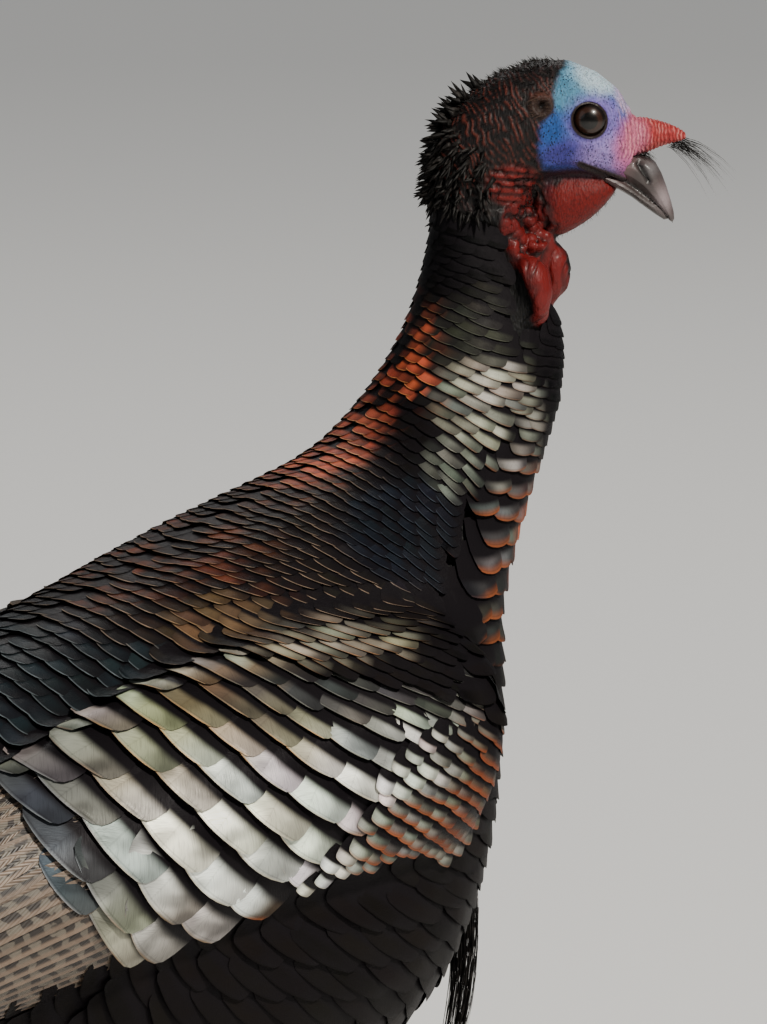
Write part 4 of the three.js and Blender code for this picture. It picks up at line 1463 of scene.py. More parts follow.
class Skin:
    """The one skin of the bird: bare on the head and legs, and hidden under the feathers elsewhere."""

    voxel = 1.7
    swell = 0.45
    body_triangles = 22000  # kept where feathers cover it
    coat = 6.5  # how deep it lies under them
    wing_end = -330.0
    fine_from = 664.0  # the height that the face's finer skin starts at
    bare_leg = 205.0  # the height that the bare leg starts at

    def build(self) -> Piece:
        """Makes the skin."""
        surface = self.refined()
        points = surface.points
        straight = CARRIAGE.straight(points)
        mirrored = straight * (1.0, 0.0, 1.0) + np.abs(straight) * (0.0, 1.0, 0.0)
        bare = surface.spread(self.bareness(points, straight), 6)
        relief, hue = self.head(mirrored, straight)
        leg_relief, leg_hue = self.legs(points)
        leg = smoothstep(points[:, 2], self.bare_leg, self.bare_leg - 15.0)
        relief = relief * (1.0 - leg) + leg_relief * leg
        hue = hue * (1.0 - leg[:, None]) + leg_hue * leg[:, None]
        # painted shade: covered skin is near black, so the gaps between feathers read as shadow
        covered = np.append(linear(PLUME_SHADE), 0.4)
        hue = covered + (hue - covered) * smoothstep(bare, 0.3, 0.8)[:, None]
        depth = surface.spread(self.coat * (1.0 - bare), 10)
        points = points + surface.normals() * (relief * bare - depth)[:, None]
        points = self.sockets(points)
        piece = mesh_object("skin", points, surface.faces)
        paint(piece.data, "Hue", hue)
        LOG.info("skin: %d triangles", len(surface.faces))
        return piece

    def refined(self) -> Surface:
        """The fused flesh, coarse under the feathers and fine on the face."""
        points, faces = swollen((*FLESH, *WINGS, "eye_left", "eye_right"), self.swell)
        beside = (np.abs(points[:, 1]) > 62.0) & (points[:, 2] > 340.0)
        ends = (points[:, 0] < self.wing_end) & beside
        points[ends, 0] = self.wing_end
        surface = Surface(*fused(points, faces, self.voxel))
        surface.relax(9)
        piece = mesh_object("refining", surface.points, surface.faces)
        straight = CARRIAGE.straight(surface.points)
        covered = (self.bareness(surface.points, straight) < 0.02).astype(float)
        group = piece.vertex_groups.new(name="covered")
        group.add(np.flatnonzero(covered).tolist(), 1.0, "REPLACE")
        fewer = piece.modifiers.new("fewer", "DECIMATE")
        fewer.vertex_group = "covered"
        hidden = int((covered[surface.faces].min(axis=1) > 0).sum())
        fewer.ratio = (len(surface.faces) - hidden + self.body_triangles) / len(surface.faces)
        evaluated = piece.evaluated_get(bpy.context.evaluated_depsgraph_get())
        form = bmesh.new()
        form.from_mesh(evaluated.data)
        bpy.data.objects.remove(piece)
        self.divide(form, lambda place: place[2] > self.fine_from)
        self.divide(form, self.near_face)
        bmesh.ops.triangulate(form, faces=form.faces)
        mesh = bpy.data.meshes.new("refined")
        form.to_mesh(mesh)
        form.free()
        points, faces = mesh_arrays(mesh)
        bpy.data.meshes.remove(mesh)
        corners = np.sort(faces, axis=1)
        _, same, times = np.unique(corners, axis=0, return_inverse=True, return_counts=True)
        used, faces = np.unique(faces[times[same.ravel()] == 1], return_inverse=True)
        finer = Surface(points[used], faces.reshape(-1, 3))
        finer.relax(2, smoothstep(finer.points[:, 2], self.fine_from, self.fine_from + 16.0))
        return finer

    @staticmethod
    def near_face(place: Array) -> bool:
        """Whether a straight place is close to an eye or on the snood."""
        beside_eye = math.hypot(place[0] - FACE.eye[0], place[2] - FACE.eye[2]) < 12.5
        return (beside_eye and abs(place[1]) > 12.0) or (place[0] > 117.0 and place[2] > 751.0)

    @staticmethod
    def divide(form: bmesh.types.BMesh, chosen: Callable[[Array], bool]) -> None:
        """Halves the edges whose ends both lie at chosen places of the straight bird."""
        points = to_bird(np.array([v.co for v in form.verts]))
        near = points[:, 2] > 660.0
        inside = np.zeros(len(points), bool)
        straight = CARRIAGE.straight(points[near])
        inside[near] = [chosen(place) for place in straight.tolist()]
        form.verts.index_update()
        edges = [e for e in form.edges if inside[e.verts[0].index] and inside[e.verts[1].index]]
        bmesh.ops.subdivide_edges(form, edges=edges, cuts=1, use_grid_fill=True, smooth=0.6)

    def bareness(self, points: Array, straight: Array) -> Array:
        """1 where no feathers grow, and 0 where they cover the skin."""
        neck = smoothstep(straight[:, 2] - bare_edge(straight[:, 0]), -10.0, -2.0)
        leg = smoothstep(points[:, 2], self.bare_leg, self.bare_leg - 10.0)
        return np.maximum.reduce([neck, hanging(straight), leg])

    def head(self, mirrored: Array, straight: Array) -> tuple[Array, Array]:
        """The relief in millimetres, and the colour with its specks, of the head and throat."""
        hue = np.tile(np.append(linear(BACK_COLOURS[0]), 0.1), (len(straight), 1))
        relief = 0.08 * ripple(straight, 3.0, 3, 2)
        for tint in SKIN_TINTS:
            wash(hue, tint.share(mirrored), tint.colour, tint.specks)
        throat = far_from(mirrored, (75, 12, 719), (14, 15, 17))
        folds = bell(far_from(mirrored, (71, 20, 741), (14, 14, 11)), 1.0)
        self.back(mirrored, straight, throat, folds, relief, hue)
        self.throat(mirrored, straight, throat, folds, relief, hue)
        self.lobes(mirrored, straight, relief, hue)
        self.snood(mirrored, straight, relief, hue)
        self.mouth(mirrored, relief, hue)
        self.openings(mirrored, relief, hue)
        return relief, hue

    @staticmethod
    def back(
        mirrored: Array, straight: Array, throat: Array, folds: Array, relief: Array, hue: Array
    ) -> None:
        """Adds the dark wrinkled back of the head, crimson low down and teal at the crown."""
        x, z = mirrored[:, 0], mirrored[:, 2]
        edge = 83.0 + np.where(z > 758.0, 0.0085, 0.006) * (z - 758.0) ** 2
        edge = edge + 1.3 * ripple(straight, 9.0, 9, 3)
        behind = smoothstep(edge - x, -3.0, 2.0) * smoothstep(z, 700.0, 708.0)
        behind = behind * (1.0 - hanging(straight))
        hue[:, 3] += bell(edge - x + 3.0, 4.0) * (z > 750.0)
        behind = behind * (1.0 - np.maximum(smoothstep(throat, 1.1, 0.9), smoothstep(folds, 0.35, 0.5)))
        wave = 0.88 * x + 0.47 * z + 1.9 * ripple(straight, 15.0, 21, 2)
        crest = (0.5 + 0.5 * np.sin(TURN * (wave + 0.35 * ripple(straight, 5.0, 23, 1)) / 2.8)) ** 3
        crest = crest * smoothstep(ripple(straight, 8.0, 22, 3), -0.6, 0.5)
        crest = crest * smoothstep(around(mirrored, FACE.ear), 4.5, 7.5)
        dark, crimson, teal = (np.append(linear(code), 0.1) for code in BACK_COLOURS)
        low = np.clip(smoothstep(z, 745.0, 722.0) + 0.8 * smoothstep(z, 784.0, 796.0), 0, 1)[:, None]
        own = dark + crest[:, None] * (crimson * (1 - low) + teal * low - dark)
        darken(own, 0.9 * smoothstep(z, 726.0, 714.0))
        hue += behind[:, None] * (own - hue)
        relief += 0.75 * crest * behind

    @staticmethod
    def throat(
        mirrored: Array, straight: Array, throat: Array, folds: Array, relief: Array, hue: Array
    ) -> None:
        """Adds the rolls under the ear and the beads of the throat, with painted shade in the troughs
        between them.
        """
        x, z = mirrored[:, 0], mirrored[:, 2]
        rolls = np.sin(TURN * (z + 0.12 * x + 0.8 * ripple(straight, 12.0, 31, 1)) / 3.6)
        folded = smoothstep(folds, 0.3, 0.6)
        relief += folds * 0.6 * rolls
        wash(hue, folded, "5e100b", 0.1)
        # painted shade in the troughs of the rolls
        darken(hue, 0.7 * folded * smoothstep(rolls, 0.3, -0.7))
        share = np.maximum(smoothstep(throat, 1.2, 0.95), 0.75 * folded)
        near = share > 0.0
        bumps = np.zeros(len(x))
        bumps[near] = beads(straight[near], 4.6, 41)
        relief += 2.6 * share * (bumps - 0.25)
        # painted shade between the beads
        darken(hue, 0.85 * share * (1.0 - smoothstep(bumps, 0.1, 0.7)))

    @staticmethod
    def lobes(mirrored: Array, straight: Array, relief: Array, hue: Array) -> None:
        """Smooths the two hanging lobes, with creases on them and a parting between them, both darkened as
        painted shade.
        """
        lobe = smoothstep(far_from(mirrored, (82, 12, 689), (21, 25, 20)), 1.1, 0.95)
        crease = 1.0 - smoothstep(np.abs(ripple(straight, 13.0, 51, 1)), 0.0, 0.16)
        right = far_from(straight, (79, -21, 689.5), (10.8, 9.8, 17.5))
        left = far_from(straight, (89, 3, 696), (9.6, 7.8, 14.5))
        parting = bell(left - right, 0.32) * smoothstep(right, 0.8, 1.0) * smoothstep(left, 2.2, 1.6)
        relief *= 1.0 - 0.9 * lobe
        relief -= 0.7 * lobe * crease
        relief -= 1.6 * lobe * parting
        # painted shade in the creases and the parting
        darken(hue, lobe * np.maximum(0.5 * crease, 0.9 * parting))

    @staticmethod
    def snood(mirrored: Array, straight: Array, relief: Array, hue: Array) -> None:
        """Adds the rings of the snood, with a painted highlight on their tops and painted shade between
        them.
        """
        x, z = mirrored[:, 0], mirrored[:, 2]
        snood = smoothstep(x, 119.0, 123.0) * smoothstep(z, 750.0, 753.0)
        bent = x + 0.012 * (z - 762.0) ** 2 + 0.7 * ripple(straight, 8.0, 61, 2)
        rings = np.sin(TURN * bent / 1.75)
        relief += 0.2 * snood * rings
        # painted highlight on the tops of the rings
        pale = snood * smoothstep(rings, 0.1, 0.9) * smoothstep(ripple(straight, 6.0, 62, 2), -0.6, 0.6)
        wash(hue[:, :3], 0.3 * pale, "e0a8a0")
        # painted shade in the grooves between the rings
        darken(hue, 0.35 * snood * smoothstep(rings, 0.0, -0.9))

    @staticmethod
    def mouth(mirrored: Array, relief: Array, hue: Array) -> None:
        """Adds the horny skin along the gape, with a slit in it darkened as painted shade."""
        t, far = off_line(mirrored, GAPE)
        horny = smoothstep(far - 1.2 * t, 2.6, 1.4) * (mirrored[:, 0] < 128.0)
        slit = bell(far, 0.7) * (mirrored[:, 0] < 120.0)
        wash(hue, horny, "33292a", 0.3)
        # painted shade in the slit
        darken(hue, 0.7 * slit)
        relief += 0.5 * horny
        relief -= 0.9 * slit

    @staticmethod
    def openings(mirrored: Array, relief: Array, hue: Array) -> None:
        """Adds the lids and the ear, with painted shade in the ear's hole."""
        eye = around(mirrored, FACE.eye, 0.08)
        side = smoothstep(mirrored[:, 1], 10.0, 14.0)
        relief += 0.55 * side * bell(eye - FACE.eye_opening - 0.9, 1.0)
        relief -= 0.35 * side * bell(eye - FACE.eye_opening - 3.2, 0.9)
        rim = smoothstep(eye, FACE.eye_opening + 2.0, FACE.eye_opening + 1.2)
        wash(hue, side * rim, "180b08", 0.0)
        ear = around(mirrored, FACE.ear)
        near = smoothstep(mirrored[:, 1], 12.0, 15.0)
        wash(hue, near * smoothstep(ear, 7.5, 5.0), "2c1d18", 0.3)
        hole = near * smoothstep(ear, FACE.ear_opening + 0.9, FACE.ear_opening - 1.2)
        relief -= 4.2 * hole
        relief += 0.8 * near * bell(ear - FACE.ear_opening - 1.6, 1.0)
        # painted shade: the ear's hole is near black
        wash(hue, hole, "080605", 0.0)
        brow = near * bell(ear - FACE.ear_opening - 2.0, 1.6) * smoothstep(mirrored[:, 2], 780, 784)
        wash(hue, 0.5 * brow, "5a3026", 0.0)

    @staticmethod
    def sockets(points: Array) -> Array:
        """Sinks the skin in front of each eyeball, so that the lids open round it."""
        straight = CARRIAGE.straight(points)
        shares = CARRIAGE.shares(points)
        depth = np.abs(straight[:, 1])
        eye = around(straight, FACE.eye, 0.08)
        near = (straight[:, 2] > 750.0) & (depth > 11.0)
        sunk = smoothstep(eye, FACE.eye_opening + 0.5, FACE.eye_opening - 0.4) * near
        floor = FACE.eye[1] - 1.5
        straight[:, 1] += np.sign(straight[:, 1]) * sunk * (floor - depth)
        moved = CARRIAGE.turned(straight, shares)
        return np.where((sunk > 0)[:, None], moved, points)

    @staticmethod
    def legs(points: Array) -> tuple[Array, Array]:
        """The scutes of the shanks and toes, as relief and colour."""
        z = points[:, 2]
        beside = np.abs(points[:, 1]) - 60.0
        forward = points[:, 0] - (-143.0 - 35.0 * (z / 191.0))
        angle = np.arctan2(beside, forward)
        row = np.floor(angle / 0.9)
        band = z / 6.2 + 0.5 * (row % 2)
        step = np.abs((band % 1.0) - 0.5) * 2.0
        on_shank = smoothstep(z, 14.0, 22.0)
        relief = 0.55 * on_shank * (1.0 - smoothstep(step, 0.75, 1.0))
        reach = np.hypot(points[:, 0] + 143.0, beside)
        toe_step = np.abs(((reach / 4.6) % 1.0) - 0.5) * 2.0
        top = smoothstep(z, 4.0, 8.0) * (1.0 - on_shank)
        relief = relief + 0.5 * top * (1.0 - smoothstep(toe_step, 0.7, 1.0))
        pale, dark = (np.append(linear(code), 0.15) for code in LEG_COLOURS)
        groove = on_shank * smoothstep(step, 0.7, 1.0) + top * smoothstep(toe_step, 0.65, 1.0)
        share = np.clip(groove + 0.35 * (0.5 + 0.5 * ripple(points, 40.0, 71, 2)), 0.0, 1.0)
        return relief, pale + share[:, None] * (dark - pale)


class SkinFinish:
    """Soft damp skin, pored and finely wrinkled, with painted shade in its wrinkles, coloured by the mesh.
    """

    def build(self) -> Material:
        """Makes the material."""
        finish = Finish("skin")
        place = finish.place()
        hue = finish.attribute("Hue")
        specks = finish.attribute("Hue", "Alpha")
        warp = finish.noise(place, 260.0, 3.0)
        pores = finish.cells(finish.place(1.0, (1.0, 1.0, 0.7)), 900.0)
        spots = (1.0 - pores.rise(0.2, 0.38)) * finish.noise(place, 210.0, 2.0).rise(0.34, 0.52) * specks
        stripes = finish.noise(finish.place(1.0, (1.0, 1.0, 0.4)), 620.0, 2.0)
        damp = 1.0 - specks.rise(0.06, 0.12)
        shade = warp.rise(0.45, 0.9) * 0.2 + stripes.rise(0.5, 0.8) * 0.2 * (1.0 - damp)
        tone = hue.mix((0.0, 0.0, 0.0, 1.0), shade + 0.1)
        colour = tone.mix((0.004, 0.005, 0.012, 1.0), spots)
        # painted shade in the fine creases of the skin
        crease_shade = finish.cells(finish.place(1.0, (1.0, 1.0, 0.6)), 1300.0).rise(0.45, 0.8)
        colour = colour.mix((0.0, 0.0, 0.0, 1.0), crease_shade * (1.0 - damp * 0.8) * 0.35)
        grain = finish.cells(finish.place(1.0, (1.0, 1.0, 0.35)), 900.0)
        height = grain * 0.6 + warp * 0.7
        bump = finish.bump(height, 0.0005, 0.9)
        return finish.close(
            colour, 0.5 + warp * 0.22, Normal=bump, Coat_Weight=damp * 0.14, Coat_Roughness=0.3, IOR=1.4,
            Specular_IOR_Level=0.3, Subsurface_Weight=0.06, Subsurface_Scale=0.002,
        )  # fmt: skip


# ---- bristles and the beard
@dataclass(frozen=True)
class Bristles:
    """A batch of stiff hairs or thin plume tips, each a closed three-sided spike."""

    name: str
    stops: tuple[float, ...] = (0.0, 0.35, 0.7)

    def piece(
        self, roots: Array, ways: Array, lengths: Array, radii: Array, bend: Array
    ) -> Piece:
        """Makes the batch.

        Args:
            roots: where the spikes start, in bird millimetres.
            ways: unit directions that they start in.
            lengths: their lengths.
            radii: their radii at the root.
            bend: how far each tip is carried sideways, as vectors.

        Returns:
            The joined piece.
        """
        count, rings = len(roots), len(self.stops)
        helper = np.where(np.abs(ways[:, 2:]) < 0.9, (0.0, 0.0, 1.0), (1.0, 0.0, 0.0))
        across = unit(np.cross(ways, helper))
        other = np.cross(ways, across)
        t = np.array(self.stops)[None, :, None, None]
        turn = np.arange(3) * TURN / 3.0
        circle = (
            across[:, None, None] * np.cos(turn)[None, None, :, None]
            + other[:, None, None] * np.sin(turn)[None, None, :, None]
        )
        centre = roots[:, None, None] + (ways * lengths[:, None])[:, None, None] * t
        centre = centre + bend[:, None, None] * t * t
        body = centre + circle * (radii[:, None, None, None] * (1.0 - 0.85 * t))
        ends = roots + ways * lengths[:, None] + bend
        points = np.concatenate([body.reshape(count, -1, 3), ends[:, None]], axis=1)
        own = rings * 3 + 1
        faces = [(0, 2, 1)]
        for ring in range(rings):
            for i in range(3):
                a, b = 3 * ring + i, 3 * ring + (i + 1) % 3
                if ring == rings - 1:
                    faces.append((a, b, own - 1))
                else:
                    faces += [(a, b, b + 3), (a, b + 3, a + 3)]
        table = (np.array(faces)[None] + np.arange(count)[:, None, None] * own).reshape(-1, 3)
        piece = mesh_object(self.name, points.reshape(-1, 3), table)
        place = np.repeat(body_unwrap(roots), own, axis=0)
        local = np.tile(np.column_stack([np.linspace(0, 1, own)] * 2) - 0.5, (count, 1))
        lay_maps(piece.data, table, place + local * OFBAKE_PATCH, local + 0.5)
        LOG.info("%s: %d spikes", self.name, count)
        return piece


class HeadBristles:
    """The bristles of the crown, nape, ears, dewlap and snood."""

    def __init__(self, skin: Piece) -> None:
        """Reads the skin that they grow from."""
        self.points, faces = mesh_arrays(skin.data)
        self.normals = Surface(self.points, faces).normals()
        near = self.points[:, 2] > 690.0
        self.points, self.normals = self.points[near], self.normals[near]
        self.straight = CARRIAGE.straight(self.points)
        _, index = CARRIAGE.nearest(self.straight)
        tangent = CARRIAGE.tangents()[index]
        along = np.column_stack([tangent[:, 0], np.zeros(len(index)), tangent[:, 1]])
        along = CARRIAGE.turned(along, CARRIAGE.shares(self.points), 0.0)
        self.along = flattened(along, self.normals)

    def build(self) -> list[Piece]:
        """Makes every batch."""
        return [*(self.spikes(*batch) for batch in self.batches()), *self.snood()]

    def spikes(
        self, name: str, weight: Array, count: int, size: Triple, stand: float, seed: int
    ) -> Piece:
        """A batch that grows from vertices chosen by weight.

        Args:
            name: the batch's name.
            weight: how likely each vertex is.
            count: how many grow.
            size: the least and greatest length, and the radius.
            stand: 0 for bristles that lie flat, up to 1 for ones that stand up.
            seed: the batch's seed.

        Returns:
            The piece.
        """
        grown = min(count, int((weight > 0).sum()))
        odds = weight / weight.sum()
        index = np.random.default_rng(seed).choice(len(weight), size=grown, replace=False, p=odds)
        rng = np.random.default_rng(seed)
        ways = self.along[index] * (1.0 - stand) + self.normals[index] * stand
        ways = unit(ways + 0.16 * rng.normal(size=(len(index), 3)))
        lengths = rng.uniform(size[0], size[1], len(index))
        radii = np.full(len(index), size[2]) * rng.uniform(0.8, 1.2, len(index))
        bend = self.along[index] * (0.1 * lengths)[:, None]
        roots = self.points[index] - 0.2 * self.normals[index]
        return Bristles(name).piece(roots, ways, lengths, radii, bend)

    def batches(self) -> Iterable[tuple]:
        """Each batch's name, weights, count, lengths with radius, stand and seed."""
        x, y, z = self.straight.T
        beside = np.abs(y)
        back = smoothstep(x - 84.0 - 0.17 * (z - 750.0), 2.0, -4.0)
        crown = back * smoothstep(beside, 24.0, 4.0) ** 1.5
        crown = (crown + 0.12 * back) * (z > 722.0)
        yield "bristles_crown", crown, 1500, (1.8, 3.8, 0.24), 0.6, 81
        nape = smoothstep(x, 66.0, 44.0) * smoothstep(z, 772.0, 745.0) * (z > 712.0)
        yield "plumes_nape", nape, 420, (5.0, 9.5, 1.7), 0.5, 82
        tufts = smoothstep(x, 62.0, 50.0) * smoothstep(beside, 16.0, 6.0) * (z > 716.0) * (z < 788.0)
        yield "plumes_tufts", tufts, 90, (7.0, 10.5, 1.9), 0.78, 86
        ears = bell(around(self.straight, FACE.ear) - FACE.ear_opening - 1.2, 1.4) * (beside > 12.0)
        yield "bristles_ears", ears, 150, (2.0, 4.0, 0.1), 0.35, 83
        low = (z < 742.0) * (z > 711.0) * (x > 86.0) * (x < 122.0)
        dewlap = smoothstep(beside, 8.0, 2.0) * low
        yield "bristles_dewlap", dewlap, 150, (1.2, 2.6, 0.09), 0.6, 84

    def snood(self) -> list[Piece]:
        """The long bristles of the snood's tip and the short ones under its root."""
        rng = np.random.default_rng(85)
        pieces = []
        for name, low, high, count, size in (
            ("bristles_snood", (144.0, -2.5, 755.5), (153.0, 2.5, 761.0), 90, (9.0, 36.0)),
            ("bristles_lore", (127.0, -6.0, 752.5), (134.0, 6.0, 755.0), 60, (4.0, 9.0)),
        ):
            roots = rng.uniform(low, high, (count, 3))
            lengths = rng.uniform(*size, count) * rng.uniform(0.6, 1.0, count)
            ways = unit(np.array([0.92, 0.0, -0.35]) + 0.16 * rng.normal(size=(count, 3)))
            bend = np.array([-0.06, 0.0, -0.36]) * lengths[:, None]
            ones = np.ones(count)
            parts = [CARRIAGE.turned(roots, ones), CARRIAGE.turned(ways, ones, 0.0)]
            bend = CARRIAGE.turned(bend, ones, 0.0)
            pieces.append(Bristles(name).piece(*parts, lengths, 0.13 * ones, bend))
        return pieces


@dataclass(frozen=True)
class Beard:
    """The tuft of coarse bristles on the breast."""

    length: float = 186.0
    top: Triple = (35.0, 0.0, 466.0)
    swing: float = 20.0
    strands: int = 170

    def build(self) -> Piece:
        """Makes the tuft of long strands from short overlapping lengths."""
        rng = np.random.default_rng(91)
        turn = rng.uniform(0.0, TURN, self.strands)
        reach = np.sqrt(rng.uniform(0.0, 1.0, self.strands))
        share = rng.uniform(0.62, 1.0, self.strands)
        joints = 7
        roots, ways, lengths, radii, bends = [], [], [], [], []
        for joint in range(joints):
            a, b = (self.spot((joint + d) / joints * share, turn, reach) for d in (0.0, 1.0))
            step = b - a
            lengths.append(np.linalg.norm(step, axis=1) * (1.12 if joint < joints - 1 else 1.0))
            roots.append(a)
            ways.append(unit(step))
            radii.append(np.full(self.strands, 0.42 - 0.03 * joint))
            bends.append(np.zeros_like(a))
        parts = (np.concatenate(part) for part in (roots, ways, lengths, radii, bends))
        return Bristles("beard_strands", (0.0, 0.5, 0.97)).piece(*parts)

    def spot(self, t: Array, turn: Array, reach: Array) -> Array:
        """Where the strands are at shares of the beard's length."""
        wide = (8.0 + 4.5 * t) * (0.3 + 0.7 * np.sin(math.pi * (0.1 + 0.8 * t)))
        deep = 5.6 * (0.35 + 0.65 * np.sin(math.pi * np.minimum(0.85, t + 0.2)))
        hang = self.swing * np.sin(math.pi * np.minimum(1.0, t * 1.15) * 0.62) - 26.0 * t * t
        return np.column_stack([
            self.top[0] + hang + deep * np.cos(turn) * reach,
            wide * np.sin(turn) * reach,
            self.top[2] - self.length * t,
        ])  # fmt: skip


# ---- wing and tail quills
QUILL_ALONG = np.linspace(0.0, 1.0, 17)
QUILL_ACROSS = np.array([-1.0, -0.66, -0.33, -0.045, 0.0, 0.045, 0.33, 0.66, 1.0])


class Quills:
    """Long feathers laid along given middles, each with a raised shaft."""

    def __init__(self) -> None:
        """Prepares the plan of one quill."""
        self.plan = Vanes(QUILL_ALONG, QUILL_ACROSS)

    def piece(
        self, name: str, middle: Array, normal: Array, half: Array, tints: Array, shaft: float = 0.9
    ) -> Piece:
        """Makes the feathers.

        Args:
            name: the piece's name.
            middle: feathers x rows x 3 places of their middles.
            normal: the same of their outward normals.
            half: half of each feather's width.
            tints: a colour and a share for each feather.
            shaft: how far the shaft stands up at its root, in millimetres.

        Returns:
            The joined piece.
        """
        t, c = QUILL_ALONG[None, :, None], QUILL_ACROSS[None, None, :]
        way = unit(np.gradient(middle, axis=1))
        side = unit(np.cross(normal, way))
        outline = 0.45 + 0.55 * smoothstep(t, 0.0, 0.3)
        tip_part = np.clip((t - 0.84) / 0.16, 0.0, 1.0) * 0.98
        outline = outline * (1.0 - tip_part**2.3) ** (1.0 / 2.3)
        wide = half[:, None, None] * outline
        ridge = shaft * (1.0 - t) ** 0.7 * (np.abs(c) < 0.01)
        height = 0.05 * wide * (1.0 - c * c) + ridge
        shift = -0.35 * half[:, None, None] * c * c * smoothstep(t, 0.6, 1.0)
        over = laid_out((middle, side, normal, way), wide * c, height, shift)
        under = over - normal[:, :, None] * (0.45 + ridge[..., None])
        roots = self.unwrap(middle[:, 0])
        white = np.ones((len(middle), 4))
        piece = feather_piece(name, self.plan, over, under, tints, white, roots)
        LOG.info("%s: %d quills, %d triangles", name, len(middle), 2 * len(piece.data.polygons))
        return piece

    @staticmethod
    def unwrap(roots: Array) -> Array:
        """Where the quills' roots lie on the unwrapped skin."""
        return wing_unwrap(roots) if np.abs(roots[:, 1]).mean() > 60.0 else body_unwrap(roots)


@dataclass(frozen=True)
class Wing:
    """A folded wing's outer face, and the long quills that show behind its coverts."""

    stations: tuple[float, ...] = (-7, -15, -50, -110, -175, -240, -300, -352, -398, -440)
    upper: tuple[float, ...] = (522, 545, 556, 552, 538, 512, 478, 442, 409, 378)
    lower: tuple[float, ...] = (496, 452, 424, 408, 396, 384, 374, 366, 362, 364)
    outer: tuple[float, ...] = (111, 125, 134, 139, 138, 129, 115, 98, 84, 74)
    depth: tuple[float, ...] = (12, 28, 36, 40, 40, 38, 32, 24, 16, 8)
    wrap: float = 1.0 / 330.0

    def face(self, x: Array, rise: Array) -> Array:
        """Places on the outer face: x, and -1 to 1 from the lower to the upper edge."""
        order = np.argsort(self.stations)

        def read(values: tuple[float, ...]) -> Array:
            """One of the rows of stations, at x."""
            return np.interp(x, np.array(self.stations)[order], np.array(values)[order])

        upper, lower, outer, depth = map(read, (self.upper, self.lower, self.outer, self.depth))
        half = (upper - lower) / 2.0
        across = np.clip(1.0 - rise * rise, 0.0, 1.0) ** 0.675
        out = outer - depth * (1.0 - across) - self.wrap * (half * rise) ** 2
        return np.stack([x, out, (upper + lower) / 2.0 + half * rise], axis=-1)

    def run(self, roots: Array, tips: Array, layers: Array, bow: float) -> tuple[Array, Array]:
        """Middles and normals of quills from roots to tips, both given as x and rise."""
        t = QUILL_ALONG[None, :, None]
        path = roots[:, None] + (tips - roots)[:, None] * t
        path[..., 1] += bow * np.sin(math.pi * QUILL_ALONG)[None]
        x, rise = path[..., 0], np.clip(path[..., 1], -0.985, 0.985)
        place = self.face(x, rise)
        normal = np.cross(
            self.face(x, rise + 0.02) - self.face(x, rise - 0.02),
            self.face(x + 2.0, rise) - self.face(x - 2.0, rise),
        )
        normal = unit(normal * np.sign(normal[..., 1:2]))
        slim = smoothstep(place[..., 0], -445.0, -380.0)[..., None] * 0.5 + 0.5
        dip = 5.0 * (1.0 - QUILL_ALONG[None, :, None]) ** 1.5
        return place + normal * (layers[:, None, None] * slim - dip), normal

    def build(self, quills: Quills) -> list[Piece]:
        """The secondaries and primaries of both wings."""
        pieces = []
        kinds = (
            ("secondaries", 19, (-150, -0.8), (-250, 0.97), (-330, -0.93), (-415, 0.97), (-2.6, 2.2), 15.0),
            ("primaries", 8, (-230, -0.85), (-250, -0.2), (-392, -0.9), (-438, 0.1), (-6.0, -4.2), 10.0),
        )
        for name, count, first_root, last_root, first_tip, last_tip, layers, half in kinds:
            f = np.linspace(0.0, 1.0, count)
            roots = np.outer(1 - f, first_root) + np.outer(f, last_root)
            tips = np.outer(1 - f, first_tip) + np.outer(f, last_tip)
            middle, normal = self.run(roots, tips, layers[0] + (layers[1] - layers[0]) * f, 0.04)
            rng = np.random.default_rng(101)
            tints = np.column_stack([np.ones((count, 3)) * rng.uniform(0.75, 1.1, (count, 1)), f])
            for label, side in SIDES.items():
                flip = np.array([1.0, side, 1.0])
                own = (middle * flip, normal * flip)
                piece = quills.piece(f"{name}_{label}", *own, np.full(count, half), tints)
                pieces.append(piece)
        return pieces


